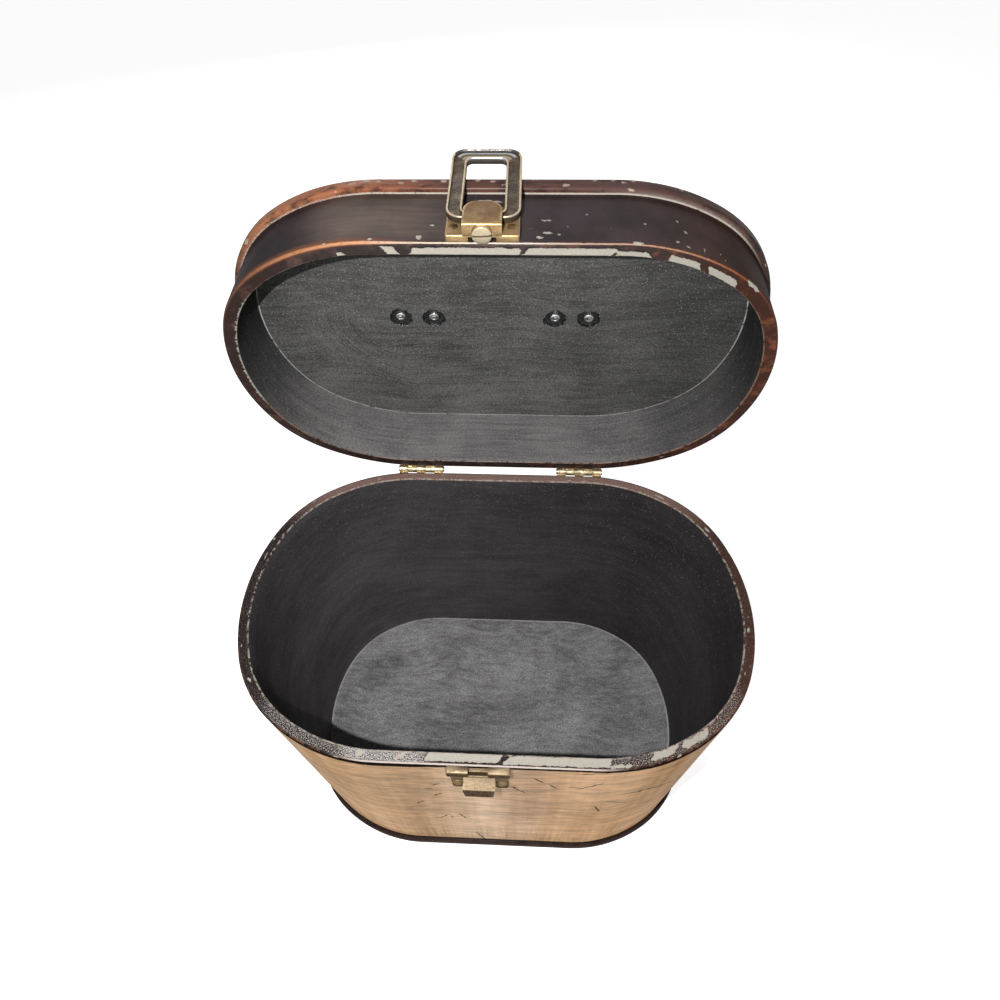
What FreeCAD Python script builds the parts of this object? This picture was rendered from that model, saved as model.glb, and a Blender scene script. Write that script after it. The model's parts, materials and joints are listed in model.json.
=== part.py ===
import FreeCAD, Part
import math
import os
import Sketcher

# Small oval storage trunk with a hinged lid, built as separate pieces in millimetres.
# +Z is up, the lid opens backwards towards +Y, and the origin is the middle of the base.
# Lid pieces are built as on the closed trunk, about the hinge pins, and then swung open.

doc = FreeCAD.newDocument("StorageTrunk")

sizes = {
    # Oval outline: straight long sides, then shoulder, corner and end arcs
    "trunkWidth": 250.0,
    "endRadius": 90.0,
    "cornerRadius": 63.0,
    "shoulderRadius": 88.0,
    "endAngle": 22.0,
    "shoulderAngle": 58.0,
    # Tub
    "tubHeight": 189.5,
    "tubWall": 5.2,
    "floorThickness": 8.0,
    "baseHeight": 6.0,
    "baseProud": 3.0,
    "baseRound": 2.0,
    "rimRound": 0.6,
    # Lid
    "closeGap": 0.3,
    "lidHeight": 37.3,
    "lidWall": 6.0,
    "panelThickness": 4.0,
    "topMouldingHeight": 7.4,
    "topMouldingProud": 2.85,
    "topMouldingRound": 2.0,
    "openAngle": 84.7,
    # Hinges, let into the back walls
    "hingeSpacing": 90.2,
    "knuckleLength": 5.0,
    "knuckleGap": 0.1,
    "barrelRadius": 2.2,
    "barrelClearance": 0.3,
    "pinRadius": 1.0,
    "pinClearance": 0.05,
    "pinHead": 0.6,
    "axisStandOff": 2.4,
    "leafHeight": 16.0,
    "leafThickness": 0.9,
    "leafFilletWidth": 1.4,
    "stopReach": 2.8,
    "stopThickness": 0.9,
    "stopGap": 0.1,
    # Countersunk hinge screws
    "hingeScrewSpacing": 14.0,
    "hingeScrewDrop": 9.5,
    "hingeScrewRadius": 1.0,
    "hingeScrewHead": 1.8,
    "hingeScrewLength": 4.0,
    # Latch plate and tongue on the lid front
    "latchOffset": -4.0,
    "sheet": 0.8,
    "plateWidth": 27.8,
    "plateHeight": 18.0,
    "plateRise": 3.0,
    "latchNotch": 10.4,
    "tongueWidth": 14.6,
    "tongueRise": 5.0,
    "tongueLength": 13.8,
    "tongueRound": 5.6,
    "latchScrewRadius": 3.65,
    "latchScrewDome": 2.0,
    "latchShankRadius": 0.75,
    "latchShankLength": 3.4,
    "latchNailSpread": 11.0,
    "latchNailHeight": 5.5,
    "ringKeeper": 0.8,
    "ringSlack": 0.3,
    # Ring that swings on the lid plate
    "ringPivotHeight": 8.5,
    "ringThickness": 3.0,
    "ringWidth": 28.4,
    "ringReach": 41.7,
    "ringBar": 6.3,
    "ringFarBar": 6.0,
    "ringStraight": 28.0,
    "ringBend": 5.0,
    "ringNearRound": 6.0,
    "ringFarRound": 4.2,
    "ringInnerRound": 2.4,
    "ringClearance": 0.15,
    # Catch on the tub front
    "catchEarWidth": 27.2,
    "catchNotch": 8.4,
    "catchNotchDepth": 4.0,
    "catchBoxHeight": 5.5,
    "catchTabsWidth": 25.4,
    "catchTabsDrop": 34.0,
    "hookWidth": 13.8,
    "hookDrop": 14.3,
    "hookReach": 6.4,
    "hookLip": 12.3,
    "hookCurl": 2.2,
    "hookRound": 2.0,
    "catchScrewDrop": 23.5,
    "catchScrewRadius": 2.5,
    "catchScrewDome": 1.4,
    "catchShankRadius": 1.1,
    "catchShankLength": 4.0,
    # Carrying handle on the lid top
    "handleOffset": -2.5,
    "handleSet": -6.8,
    "handleSpan": 76.0,
    "bracketLength": 25.0,
    "bracketWidth": 11.0,
    "bracketThickness": 1.4,
    "bracketRound": 5.0,
    "postLength": 6.5,
    "postWidth": 7.0,
    "bailPivotHeight": 7.0,
    "bailPinRadius": 1.7,
    "bailPinClearance": 0.06,
    "bailArmRadius": 2.0,
    "bailArmGap": 0.4,
    "bailDrop": 30.0,
    "bailCorner": 9.0,
    "bailGripRadius": 3.4,
    "bailGripLength": 46.0,
    "boltSpacing": 16.4,
    "boltRadius": 1.2,
    "boltHeadRadius": 2.8,
    "boltHeadDome": 1.5,
    "boltEnd": 0.1,
    "nutRadius": 2.4,
    "nutHeight": 1.3,
    "counterboreRadius": 4.4,
    "counterboreDepth": 1.5,
    # Shared by all slotted screws, pilot holes and cuts
    "slotWidth": 0.9,
    "slotDepth": 0.7,
    "overrun": 1.0,
}

sheet = doc.addObject("Spreadsheet::Sheet", "Sizes")
for row, (alias, value) in enumerate(sizes.items(), start=1):
    sheet.set(f"A{row}", alias)
    sheet.set(f"B{row}", str(value))
    sheet.setAlias(f"B{row}", alias)
doc.recompute()

# Places and growths that follow from the driving dimensions
derivedExpressions = {
    "halfWidth": "Sizes.trunkWidth / 2",
    "endX": "Derived.halfWidth - Sizes.endRadius",
    "cornerX": "Derived.endX + (Sizes.endRadius - Sizes.cornerRadius) * cos(Sizes.endAngle)",
    "cornerY": "(Sizes.endRadius - Sizes.cornerRadius) * sin(Sizes.endAngle)",
    "shoulderX": "Derived.cornerX + (Sizes.cornerRadius - Sizes.shoulderRadius) * cos(Sizes.shoulderAngle)",
    "shoulderY": "Derived.cornerY + (Sizes.cornerRadius - Sizes.shoulderRadius) * sin(Sizes.shoulderAngle)",
    "halfDepth": "Derived.shoulderY + Sizes.shoulderRadius",
    "flush": "0",
    "tubInner": "-Sizes.tubWall",
    "baseOuter": "Sizes.baseProud",
    "lidInner": "-Sizes.lidWall",
    "topOuter": "Sizes.topMouldingProud",
    "hingeY": "Derived.halfDepth + Sizes.axisStandOff",
    "hingeZ": "Sizes.tubHeight + Sizes.closeGap / 2",
    "lidBottom": "Sizes.closeGap / 2",
    "lidTop": "Derived.lidBottom + Sizes.lidHeight",
    "panelBottom": "Derived.lidTop - Sizes.panelThickness",
    "topMouldingBottom": "Derived.lidTop - Sizes.topMouldingHeight",
    "hingeLength": "5 * Sizes.knuckleLength",
    "leafBack": "-Sizes.barrelRadius - Sizes.leafThickness",
    "leafFront": "-Sizes.barrelRadius",
    "mortiseDepth": "Sizes.barrelRadius + Sizes.leafThickness - Sizes.axisStandOff",
    "leafClear": "Sizes.barrelRadius + Sizes.barrelClearance",
    "pinBore": "Sizes.pinRadius + Sizes.pinClearance",
    "tongueTop": "Sizes.plateRise + Sizes.tongueRise",
    "ringRadius": "Sizes.ringThickness / 2",
    "ringPivotOut": "Sizes.plateRise + Sizes.ringClearance + Derived.ringRadius",
    "latchScrewOut": "Sizes.latchScrewRadius + Sizes.ringClearance",
    "stopTurn": "(180 - Sizes.openAngle) / 2",
    "leafEdge": "Sizes.barrelClearance + Sizes.barrelRadius / 2",
    "knuckleWidth": "Sizes.knuckleLength - 2 * Sizes.knuckleGap",
    "bailHalfSpan": "(Sizes.handleSpan + Sizes.postLength) / 2 + Sizes.bailArmGap + Sizes.bailArmRadius",
}

derived = doc.addObject("App::VarSet", "Derived")
for name, expression in derivedExpressions.items():
    derived.addProperty("App::PropertyFloat", name)
    derived.setExpression(name, expression.replace("Derived.", ""))
doc.recompute()


def size(name):
    # The value of a driving or derived dimension
    if name in sizes:
        return float(sheet.get(name))
    return float(getattr(derived, name))


def rotation(x, y, z, angle):
    return FreeCAD.Rotation(FreeCAD.Vector(x, y, z), angle)


def place(x, y, z, turn=FreeCAD.Rotation()):
    return FreeCAD.Placement(FreeCAD.Vector(x, y, z), turn)


alongX = rotation(0, 1, 0, 90)
outFront = rotation(1, 0, 0, 90)
outBack = rotation(1, 0, 0, -90)
downwards = rotation(1, 0, 0, 180)


def bind(target, bindings):
    for prop, expression in bindings.items():
        target.setExpression(prop, expression)


def newBody(name, placement=FreeCAD.Placement()):
    body = doc.addObject("PartDesign::Body", name)
    body.Label = name
    body.Placement = placement
    return body


def add(body, kind, bindings, at=("0", "0", "0"), turn=None):
    # A PartDesign primitive, its sizes and place bound to the sheet
    feature = body.newObject("PartDesign::" + kind, body.Name + "_" + kind)
    if turn:
        feature.Placement = place(0, 0, 0, turn)
    bind(feature, bindings)
    bind(feature, {"Placement.Base." + axis: value for axis, value in zip("xyz", at)})
    return feature


def addBox(body, length, width, height, at, kind="AdditiveBox", turn=None):
    return add(body, kind, {"Length": length, "Width": width, "Height": height}, at, turn)


def addCylinder(body, radius, height, at, turn=None, kind="AdditiveCylinder"):
    return add(body, kind, {"Radius": radius, "Height": height}, at, turn)


def newSketch(body, name, plane="XY_Plane", offset=("0", "0", "0")):
    sketch = body.newObject("Sketcher::SketchObject", body.Name + "_" + name)
    support = next(item for item in body.Origin.OriginFeatures if item.Role == plane)
    sketch.AttachmentSupport = (support, [""])
    sketch.MapMode = "FlatFace"
    bind(sketch, {"AttachmentOffset.Base." + axis: value for axis, value in zip("xyz", offset)})
    return sketch


def constrain(sketch, constraint, expression=None):
    index = sketch.addConstraint(constraint)
    if expression:
        sketch.setExpression(f"Constraints[{index}]", expression)


def addOval(sketch, growth):
    # One loop of the trunk's outline, offset outwards by the named growth
    grow = size(growth)
    endTurn = math.radians(size("endAngle"))
    shoulderTurn = math.radians(size("shoulderAngle"))
    halfTurn = math.pi
    quarter = halfTurn / 2
    centres = {
        "end": (size("endX"), 0.0),
        "corner": (size("cornerX"), size("cornerY")),
        "shoulder": (size("shoulderX"), size("shoulderY")),
    }
    sideY = size("halfDepth") + grow

    def arc(kind, mirrorX, mirrorY, start, end):
        centreX, centreY = centres[kind]
        centre = FreeCAD.Vector(mirrorX * centreX, mirrorY * centreY, 0)
        circle = Part.Circle(centre, FreeCAD.Vector(0, 0, 1), size(kind + "Radius") + grow)
        index = sketch.addGeometry(Part.ArcOfCircle(circle, start, end), False)
        radius = Sketcher.Constraint("Radius", index, circle.Radius)
        constrain(sketch, radius, f"Sizes.{kind}Radius + Derived.{growth}")
        if kind != "corner":
            acrossX = Sketcher.Constraint("DistanceX", -1, 1, index, 3, centre.x)
            constrain(sketch, acrossX, f"{mirrorX} * Derived.{kind}X")
        if kind == "shoulder":
            acrossY = Sketcher.Constraint("DistanceY", -1, 1, index, 3, centre.y)
            constrain(sketch, acrossY, f"{mirrorY} * Derived.shoulderY")
        if kind == "end":
            constrain(sketch, Sketcher.Constraint("PointOnObject", index, 3, -1))
        return index

    def side(mirror):
        endX = mirror * size("shoulderX")
        start = FreeCAD.Vector(endX, mirror * sideY, 0)
        end = FreeCAD.Vector(-endX, mirror * sideY, 0)
        return sketch.addGeometry(Part.LineSegment(start, end), False)

    loop = [
        arc("end", 1, 1, -endTurn, endTurn),
        arc("corner", 1, 1, endTurn, shoulderTurn),
        arc("shoulder", 1, 1, shoulderTurn, quarter),
        side(1),
        arc("shoulder", -1, 1, quarter, halfTurn - shoulderTurn),
        arc("corner", -1, 1, halfTurn - shoulderTurn, halfTurn - endTurn),
        arc("end", -1, 1, halfTurn - endTurn, halfTurn + endTurn),
        arc("corner", -1, -1, halfTurn + endTurn, halfTurn + shoulderTurn),
        arc("shoulder", -1, -1, halfTurn + shoulderTurn, 3 * quarter),
        side(-1),
        arc("shoulder", 1, -1, 3 * quarter, 2 * halfTurn - shoulderTurn),
        arc("corner", 1, -1, 2 * halfTurn - shoulderTurn, 2 * halfTurn - endTurn),
    ]
    for index, following in zip(loop, loop[1:] + loop[:1]):
        constrain(sketch, Sketcher.Constraint("Coincident", index, 2, following, 1))


def ovalPad(name, growths, bottom, height, placement=FreeCAD.Placement()):
    # A straight wall, board or band on the oval outline
    body = newBody(name, placement)
    sketch = newSketch(body, "outline", offset=("0", "0", bottom))
    for growth in growths:
        addOval(sketch, growth)
    pad = body.newObject("PartDesign::Pad", name + "_pad")
    pad.Profile = sketch
    bind(pad, {"Length": height})
    sketch.Visibility = False
    return body


def levelEdges(body, level, outer):
    # Names of the edges round the flat face at one level: its outer loop or its inner ones
    near = size("slotWidth") / 10
    shape = body.Tip.Shape
    wanted = []
    for face in shape.Faces:
        box = face.BoundBox
        if box.ZLength < near and abs(box.ZMin - level) < near:
            loops = [wire for wire in face.Wires if wire.isSame(face.OuterWire) == outer]
            wanted += [edge for wire in loops for edge in wire.Edges]
    names = []
    for number, edge in enumerate(shape.Edges, start=1):
        if any(edge.isSame(other) for other in wanted):
            names.append(f"Edge{number}")
    return names


def roundEdges(body, edges, radius):
    base = body.Tip
    fillet = body.newObject("PartDesign::Fillet", body.Name + "_fillet")
    fillet.Base = (base, edges)
    bind(fillet, {"Radius": radius})
    doc.recompute()


def drill(body, radius, depth, at, turn):
    # A hole that starts at the surface and runs the given depth
    return addCylinder(body, radius, depth, at, turn, "SubtractiveCylinder")


def addBounds(body, acrossX, acrossY, acrossZ, kind="AdditiveBox"):
    # A box given by its limits along each axis
    spans = [f"({high}) - ({low})" for low, high in (acrossX, acrossY, acrossZ)]
    return addBox(body, *spans, (acrossX[0], acrossY[0], acrossZ[0]), kind)


def middle(halfWidth):
    return (f"-({halfWidth})", halfWidth)


measure = doc.addObject("App::VarSet", "Measure")
measure.addProperty("App::PropertyFloat", "found")


def valueOf(expression):
    measure.setExpression("found", expression)
    measure.recompute()
    return measure.found


def addLoop(sketch, corners):
    # A closed outline of level and upright lines: each corner is x, y and, if rounded, a radius
    points = [FreeCAD.Vector(valueOf(corner[0]), valueOf(corner[1]), 0) for corner in corners]
    rounds = [valueOf(corner[2]) if len(corner) > 2 else 0 for corner in corners]
    count = len(corners)
    steps = [(points[(i + 1) % count] - points[i]).normalize() for i in range(count)]
    lines = []
    for i in range(count):
        following = (i + 1) % count
        start = points[i] + steps[i] * rounds[i]
        end = points[following] - steps[i] * rounds[following]
        line = sketch.addGeometry(Part.LineSegment(start, end), False)
        level = abs(steps[i].x) > abs(steps[i].y)
        constrain(sketch, Sketcher.Constraint("Horizontal" if level else "Vertical", line))
        direction, value = ("Y", start.y) if level else ("X", start.x)
        expression = corners[i][1] if level else corners[i][0]
        constrain(sketch, Sketcher.Constraint("Distance" + direction, -1, 1, line, 1, value), expression)
        lines.append(line)
    for i in range(count):
        before = lines[i - 1]
        if not rounds[i]:
            constrain(sketch, Sketcher.Constraint("Coincident", before, 2, lines[i], 1))
            continue
        centre = points[i] + (steps[i] - steps[i - 1]) * rounds[i]
        away = (points[i] - steps[i - 1] * rounds[i]) - centre
        toward = (points[i] + steps[i] * rounds[i]) - centre
        convex = away.x * toward.y - away.y * toward.x > 0
        first, last = (away, toward) if convex else (toward, away)
        begin = math.atan2(first.y, first.x)
        circle = Part.Circle(centre, FreeCAD.Vector(0, 0, 1), rounds[i])
        arc = sketch.addGeometry(Part.ArcOfCircle(circle, begin, begin + math.pi / 2), False)
        constrain(sketch, Sketcher.Constraint("Radius", arc, rounds[i]), corners[i][2])
        constrain(sketch, Sketcher.Constraint("Tangent", before, 2, arc, 1 if convex else 2))
        constrain(sketch, Sketcher.Constraint("Tangent", arc, 2 if convex else 1, lines[i], 1))


def extrude(body, kind, sketch, length):
    feature = body.newObject("PartDesign::" + kind, sketch.Name + "_" + kind)
    feature.Profile = sketch
    bind(feature, {"Length": length})
    sketch.Visibility = False
    return feature


def slottedDome(body, radius, dome, at, turn, slotTurn):
    # A low domed head with a screwdriver slot, standing on the point given
    cap = add(body, "AdditiveEllipsoid", {"Radius1": dome, "Radius2": radius, "Radius3": radius}, at, turn)
    cap.Angle1 = 0
    slot = addBox(body, f"2 * ({radius} + Sizes.overrun)", "Sizes.slotWidth",
                  "Sizes.slotDepth + Sizes.overrun", at, "SubtractiveBox", slotTurn)
    middleOfSlot = (f"-({radius}) - Sizes.overrun", "-Sizes.slotWidth / 2", f"({dome}) - Sizes.slotDepth")
    for axis, column in zip("xyz", range(3)):
        basis = [FreeCAD.Vector(*[1 if n == m else 0 for n in range(3)]) for m in range(3)]
        parts = [round(getattr(slotTurn.multVec(vector), axis)) for vector in basis]
        terms = [f"({part}) * ({value})" for part, value in zip(parts, middleOfSlot) if part]
        slot.setExpression("Placement.Base." + axis, " + ".join([f"({at[column]})"] + terms))
    return cap


hingePlace = place(0, size("hingeY"), size("hingeZ"))
lidPlace = hingePlace * place(0, 0, 0, rotation(1, 0, 0, -size("openAngle")))
lidFrame = lidPlace * place(0, -size("hingeY"), 0)
sides = {"left": -1, "right": 1}


# Tub: bent wall, floor board and the band round its foot
tubWall = ovalPad("tub_wall", ["flush", "tubInner"], "0", "Sizes.tubHeight")
doc.recompute()
rimEdges = levelEdges(tubWall, size("tubHeight"), True) + levelEdges(tubWall, size("tubHeight"), False)
roundEdges(tubWall, rimEdges, "Sizes.rimRound")
floorPanel = ovalPad("floor_panel", ["tubInner"], "0", "Sizes.floorThickness")
baseMoulding = ovalPad("base_moulding", ["baseOuter", "flush"], "0", "Sizes.baseHeight")
doc.recompute()
roundEdges(baseMoulding, levelEdges(baseMoulding, size("baseHeight"), True), "Sizes.baseRound")

# Lid: bent wall, top panel and the moulding round its top
lidWall = ovalPad("lid_wall", ["flush", "lidInner"], "Derived.lidBottom",
                  "Derived.panelBottom - Derived.lidBottom", lidFrame)
doc.recompute()
rimEdges = levelEdges(lidWall, size("lidBottom"), True) + levelEdges(lidWall, size("lidBottom"), False)
roundEdges(lidWall, rimEdges, "Sizes.rimRound")
lidPanel = ovalPad("lid_top_panel", ["flush"], "Derived.panelBottom", "Sizes.panelThickness", lidFrame)
topMoulding = ovalPad("lid_top_moulding", ["topOuter", "flush"], "Derived.topMouldingBottom",
                      "Sizes.topMouldingHeight", lidFrame)
doc.recompute()
mouldingEdges = levelEdges(topMoulding, size("lidTop"), True)
mouldingEdges += levelEdges(topMoulding, size("topMouldingBottom"), True)
roundEdges(topMoulding, mouldingEdges, "Sizes.topMouldingRound")


# Cone of a countersunk screw's head, as deep as the sheet metal it holds
sunkHead = {
    "Radius1": "Sizes.hingeScrewHead",
    "Radius2": "Sizes.hingeScrewRadius",
    "Height": "Sizes.sheet",
}


# Hinges: leaves let into the back walls, with knuckles that interleave round one pin
def mortise(body, side, level, height):
    sideX = f"({side}) * Sizes.hingeSpacing / 2 - Derived.hingeLength / 2"
    floorY = "Derived.halfDepth - Derived.mortiseDepth"
    addBox(body, "Derived.hingeLength", "Sizes.overrun + Derived.mortiseDepth", height,
           (sideX, floorY, level), "SubtractiveBox")


def hingeScrewX(step):
    return f"({step}) * Sizes.hingeScrewSpacing / 2"


def hingeScrewHoles(body, side, level):
    for step in (-1, 1):
        holeX = f"({side}) * Sizes.hingeSpacing / 2 + " + hingeScrewX(step)
        drill(body, "Sizes.hingeScrewRadius", "Sizes.hingeScrewLength",
              (holeX, "Derived.hingeY + Derived.leafFront", level), outFront)


for side in sides.values():
    mortise(tubWall, side, "Derived.hingeZ - Sizes.leafHeight", "Sizes.leafHeight + Sizes.overrun")
    hingeScrewHoles(tubWall, side, "Derived.hingeZ - Sizes.hingeScrewDrop")
    mortise(lidWall, side, "-Sizes.overrun", "Sizes.leafHeight + Sizes.overrun")
    hingeScrewHoles(lidWall, side, "Sizes.hingeScrewDrop")


def along(upward, low, high):
    # Limits that rise from the pin on the lid's leaf and fall from it on the tub's
    return (low, high) if upward == 1 else (f"-({high})", f"-({low})")


def hingeLeaf(name, placement, knuckles, bore, upward):
    # One leaf about the pin's axis: upward is 1 for the lid's leaf and -1 for the tub's
    body = newBody(name, placement)
    wholeX = middle("Derived.hingeLength / 2 - Sizes.knuckleGap")
    leafY = ("Derived.leafBack", "Derived.leafFront")
    addBounds(body, wholeX, leafY, along(upward, "Derived.leafEdge", "Sizes.leafHeight"))
    turn = f"({upward}) * Derived.stopTurn"
    lipFace = "Sizes.stopGap / 2 + Sizes.stopThickness"

    def lip(startX, length, near, far):
        # A plate on the radius that halves the open angle, which meets its twin when the lid is open
        reach = near if upward == 1 else far
        lipY = f"({upward}) * sin({turn}) * ({reach}) - cos({turn}) * ({lipFace})"
        lipZ = f"({upward}) * cos({turn}) * ({reach}) + sin({turn}) * ({lipFace})"
        lipTurn = rotation(1, 0, 0, -upward * size("stopTurn"))
        addBox(body, length, "Sizes.stopThickness", f"({far}) - ({near})", (startX, lipY, lipZ), turn=lipTurn)

    knuckleStarts = [f"({number} - 2.5) * Sizes.knuckleLength + Sizes.knuckleGap" for number in knuckles]
    for startX in knuckleStarts:
        knuckleX = (startX, f"{startX} + Derived.knuckleWidth")
        addBounds(body, knuckleX, leafY, along(upward, "0", "Derived.leafEdge + Sizes.leafThickness"))
        addBounds(body, knuckleX, ("Derived.leafFront - Sizes.leafThickness / 2",
                                   "Derived.leafFront + Sizes.leafFilletWidth"),
                  along(upward, "0", "Sizes.leafFilletWidth"))
        addCylinder(body, "Sizes.barrelRadius", "Derived.knuckleWidth", (startX, "0", "0"), alongX)
        lip(startX, "Derived.knuckleWidth", "Sizes.barrelRadius - Sizes.barrelClearance",
            "Derived.leafClear + Sizes.barrelClearance")
    lip(wholeX[0], f"2 * ({wholeX[1]})", "Derived.leafClear", "Derived.leafClear + Sizes.stopReach")
    for startX in knuckleStarts:
        addCylinder(body, bore, "Sizes.knuckleLength", (f"{startX} - Sizes.knuckleGap", "0", "0"), alongX,
                    "SubtractiveCylinder")
    for step in (-1, 1):
        at = (hingeScrewX(step), "Derived.leafFront", f"({upward}) * Sizes.hingeScrewDrop")
        drill(body, "Sizes.hingeScrewRadius", "Sizes.leafThickness + Sizes.overrun", at, outFront)
        add(body, "SubtractiveCone", sunkHead, at, outFront)
    return body


def hingeScrews(name, placement, upward):
    # Four countersunk screws, two for each leaf
    body = newBody(name, placement)
    body.AllowCompound = True
    for side in sides.values():
        for step in (-1, 1):
            at = (f"({side}) * Sizes.hingeSpacing / 2 + " + hingeScrewX(step), "Derived.leafFront",
                  f"({upward}) * Sizes.hingeScrewDrop")
            addCylinder(body, "Sizes.hingeScrewRadius", "Sizes.hingeScrewLength", at, outFront)
            add(body, "AdditiveCone", sunkHead, at, outFront)
            slotX = (f"{at[0]} - Sizes.hingeScrewHead", f"{at[0]} + Sizes.hingeScrewHead")
            slotY = ("Derived.leafFront - Sizes.slotDepth / 2", "Derived.leafFront + Sizes.overrun")
            slotZ = (f"{at[2]} - Sizes.slotWidth / 4", f"{at[2]} + Sizes.slotWidth / 4")
            addBounds(body, slotX, slotY, slotZ, "SubtractiveBox")
    return body


for word, side in sides.items():
    shift = place(side * size("hingeSpacing") / 2, 0, 0)
    hingeLeaf("hinge_tub_leaf_" + word, hingePlace * shift, (0, 2, 4), "Sizes.pinRadius", -1)
    hingeLeaf("hinge_lid_leaf_" + word, lidPlace * shift, (1, 3), "Derived.pinBore", 1)
    pin = newBody("hinge_pin_" + word, hingePlace * shift)
    halfPin = "Derived.hingeLength / 2 - Sizes.knuckleGap"
    addCylinder(pin, "Sizes.pinRadius", f"2 * ({halfPin})", (f"-({halfPin})", "0", "0"), alongX)
    addCylinder(pin, "Sizes.pinRadius + Sizes.pinHead", "Sizes.pinHead", (halfPin, "0", "0"), alongX)
    addCylinder(pin, "Sizes.pinRadius + Sizes.pinHead", "Sizes.pinHead",
                (f"-({halfPin}) - Sizes.pinHead", "0", "0"), alongX)
hingeScrews("hinge_tub_screws", hingePlace, -1)
hingeScrews("hinge_lid_screws", lidPlace, 1)


# Latch plate: a pressed shell on the lid front, with a tongue bent up over the ring's rod
latchFrame = lidFrame * place(size("latchOffset"), -size("halfDepth"), 0)
latchPlate = newBody("latch_plate", latchFrame)
plateHalf = "Sizes.plateWidth / 2"
addBounds(latchPlate, middle(plateHalf), ("-Sizes.plateRise", "0"), ("Sizes.closeGap", "Sizes.plateHeight"))
shellY = ("Sizes.sheet - Sizes.plateRise", "Sizes.overrun")
addBounds(latchPlate, middle(f"{plateHalf} - Sizes.sheet"), shellY,
          ("Sizes.closeGap + Sizes.sheet", "Sizes.plateHeight - Sizes.sheet"), "SubtractiveBox")
addBounds(latchPlate, middle("Sizes.latchNotch / 2"), shellY,
          ("-Sizes.overrun", "Sizes.closeGap + Sizes.sheet"), "SubtractiveBox")
tongueHalf = "Sizes.tongueWidth / 2"
addBounds(latchPlate, middle(tongueHalf), ("-Derived.tongueTop", "-Sizes.plateRise + Sizes.sheet / 2"),
          ("Sizes.closeGap", "Sizes.closeGap + Sizes.sheet"))
keeperNear = "Derived.ringRadius + Sizes.ringSlack"
keeperFar = keeperNear + " + Sizes.ringKeeper"
for limits in ((f"-({keeperFar})", f"-({keeperNear})"), (keeperNear, keeperFar)):
    addBounds(latchPlate, middle(tongueHalf),
              ("-Derived.tongueTop + Sizes.sheet / 2", "-Sizes.plateRise + Sizes.sheet / 2"),
              ["Sizes.ringPivotHeight + " + limit for limit in limits])
tongueSketch = newSketch(latchPlate, "tongue", "XZ_Plane", ("0", "0", "Derived.tongueTop - Sizes.sheet"))
tongueTop = "Sizes.closeGap + Sizes.tongueLength"
addLoop(tongueSketch, [(f"-{tongueHalf}", "Sizes.closeGap"), (tongueHalf, "Sizes.closeGap"),
                       (tongueHalf, tongueTop, "Sizes.tongueRound"),
                       (f"-{tongueHalf}", tongueTop, "Sizes.tongueRound")])
extrude(latchPlate, "Pad", tongueSketch, "Sizes.sheet")

# Dome-headed rivet under the tongue, which drops into the catch's notch
latchRivet = newBody("latch_guide_rivet", latchFrame)
rivetAt = ("0", "-Derived.latchScrewOut", "Sizes.closeGap")
addCylinder(latchRivet, "Sizes.latchShankRadius", "Sizes.latchShankLength", rivetAt)
slottedDome(latchRivet, "Sizes.latchScrewRadius", "Sizes.latchScrewDome", rivetAt, downwards, downwards)
drill(latchPlate, "Sizes.latchShankRadius", "Sizes.latchShankLength", rivetAt, rotation(0, 0, 1, 0))

# Two countersunk screws hold the plate, hidden under the ring's side bars
latchScrews = newBody("latch_plate_screws", latchFrame)
latchScrews.AllowCompound = True
for side in sides.values():
    screwAt = (f"({side}) * Sizes.latchNailSpread", "-Sizes.plateRise", "Sizes.latchNailHeight")
    length = "Sizes.plateRise + Sizes.hingeScrewLength"
    addCylinder(latchScrews, "Sizes.hingeScrewRadius", length, screwAt, outBack)
    add(latchScrews, "AdditiveCone", sunkHead, screwAt, outBack)
    add(latchPlate, "SubtractiveCone", sunkHead, screwAt, outBack)
    wallX = f"Sizes.latchOffset + {screwAt[0]}"
    drill(lidWall, "Sizes.hingeScrewRadius", "Sizes.hingeScrewLength + Sizes.overrun",
          (wallX, "-Derived.halfDepth - Sizes.overrun", "Sizes.latchNailHeight"), outBack)

# Ring that swings about its rod behind the tongue
ringFrame = latchFrame * place(0, -size("ringPivotOut"), size("ringPivotHeight"))
latchRing = newBody("latch_ring", ringFrame)
ringHalf = "Sizes.ringWidth / 2"
ringY = middle("Derived.ringRadius")
addCylinder(latchRing, "Derived.ringRadius", "Sizes.ringWidth", (f"-{ringHalf}", "0", "0"), alongX)
bendRise = "Derived.ringRadius * sin(Sizes.ringBend)"
addBounds(latchRing, middle(ringHalf), ringY, ("0", f"Sizes.ringStraight + {bendRise}"))
addBox(latchRing, "Sizes.ringWidth", "Sizes.ringThickness",
       "Sizes.ringReach - Sizes.ringStraight + Sizes.overrun",
       (f"-{ringHalf}", "-Derived.ringRadius * cos(Sizes.ringBend)", f"Sizes.ringStraight - {bendRise}"),
       turn=rotation(1, 0, 0, size("ringBend")))
inFront = ("0", "0", "2 * Sizes.ringThickness")
trimSketch = newSketch(latchRing, "trim", "XZ_Plane", inFront)
wide = "Sizes.ringWidth"
addLoop(trimSketch, [(f"-{wide}", "-Sizes.ringThickness"), (wide, "-Sizes.ringThickness"),
                     (wide, "2 * Sizes.ringReach"), (f"-{wide}", "2 * Sizes.ringReach")])
addLoop(trimSketch, [(f"-{ringHalf}", "-Derived.ringRadius", "Sizes.ringNearRound"),
                     (ringHalf, "-Derived.ringRadius", "Sizes.ringNearRound"),
                     (ringHalf, "Sizes.ringReach", "Sizes.ringFarRound"),
                     (f"-{ringHalf}", "Sizes.ringReach", "Sizes.ringFarRound")])
extrude(latchRing, "Pocket", trimSketch, "4 * Sizes.ringThickness")
openSketch = newSketch(latchRing, "opening", "XZ_Plane", inFront)
openHalf = f"({ringHalf} - Sizes.ringBar)"
openTop = "Sizes.ringReach - Sizes.ringFarBar"
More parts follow.
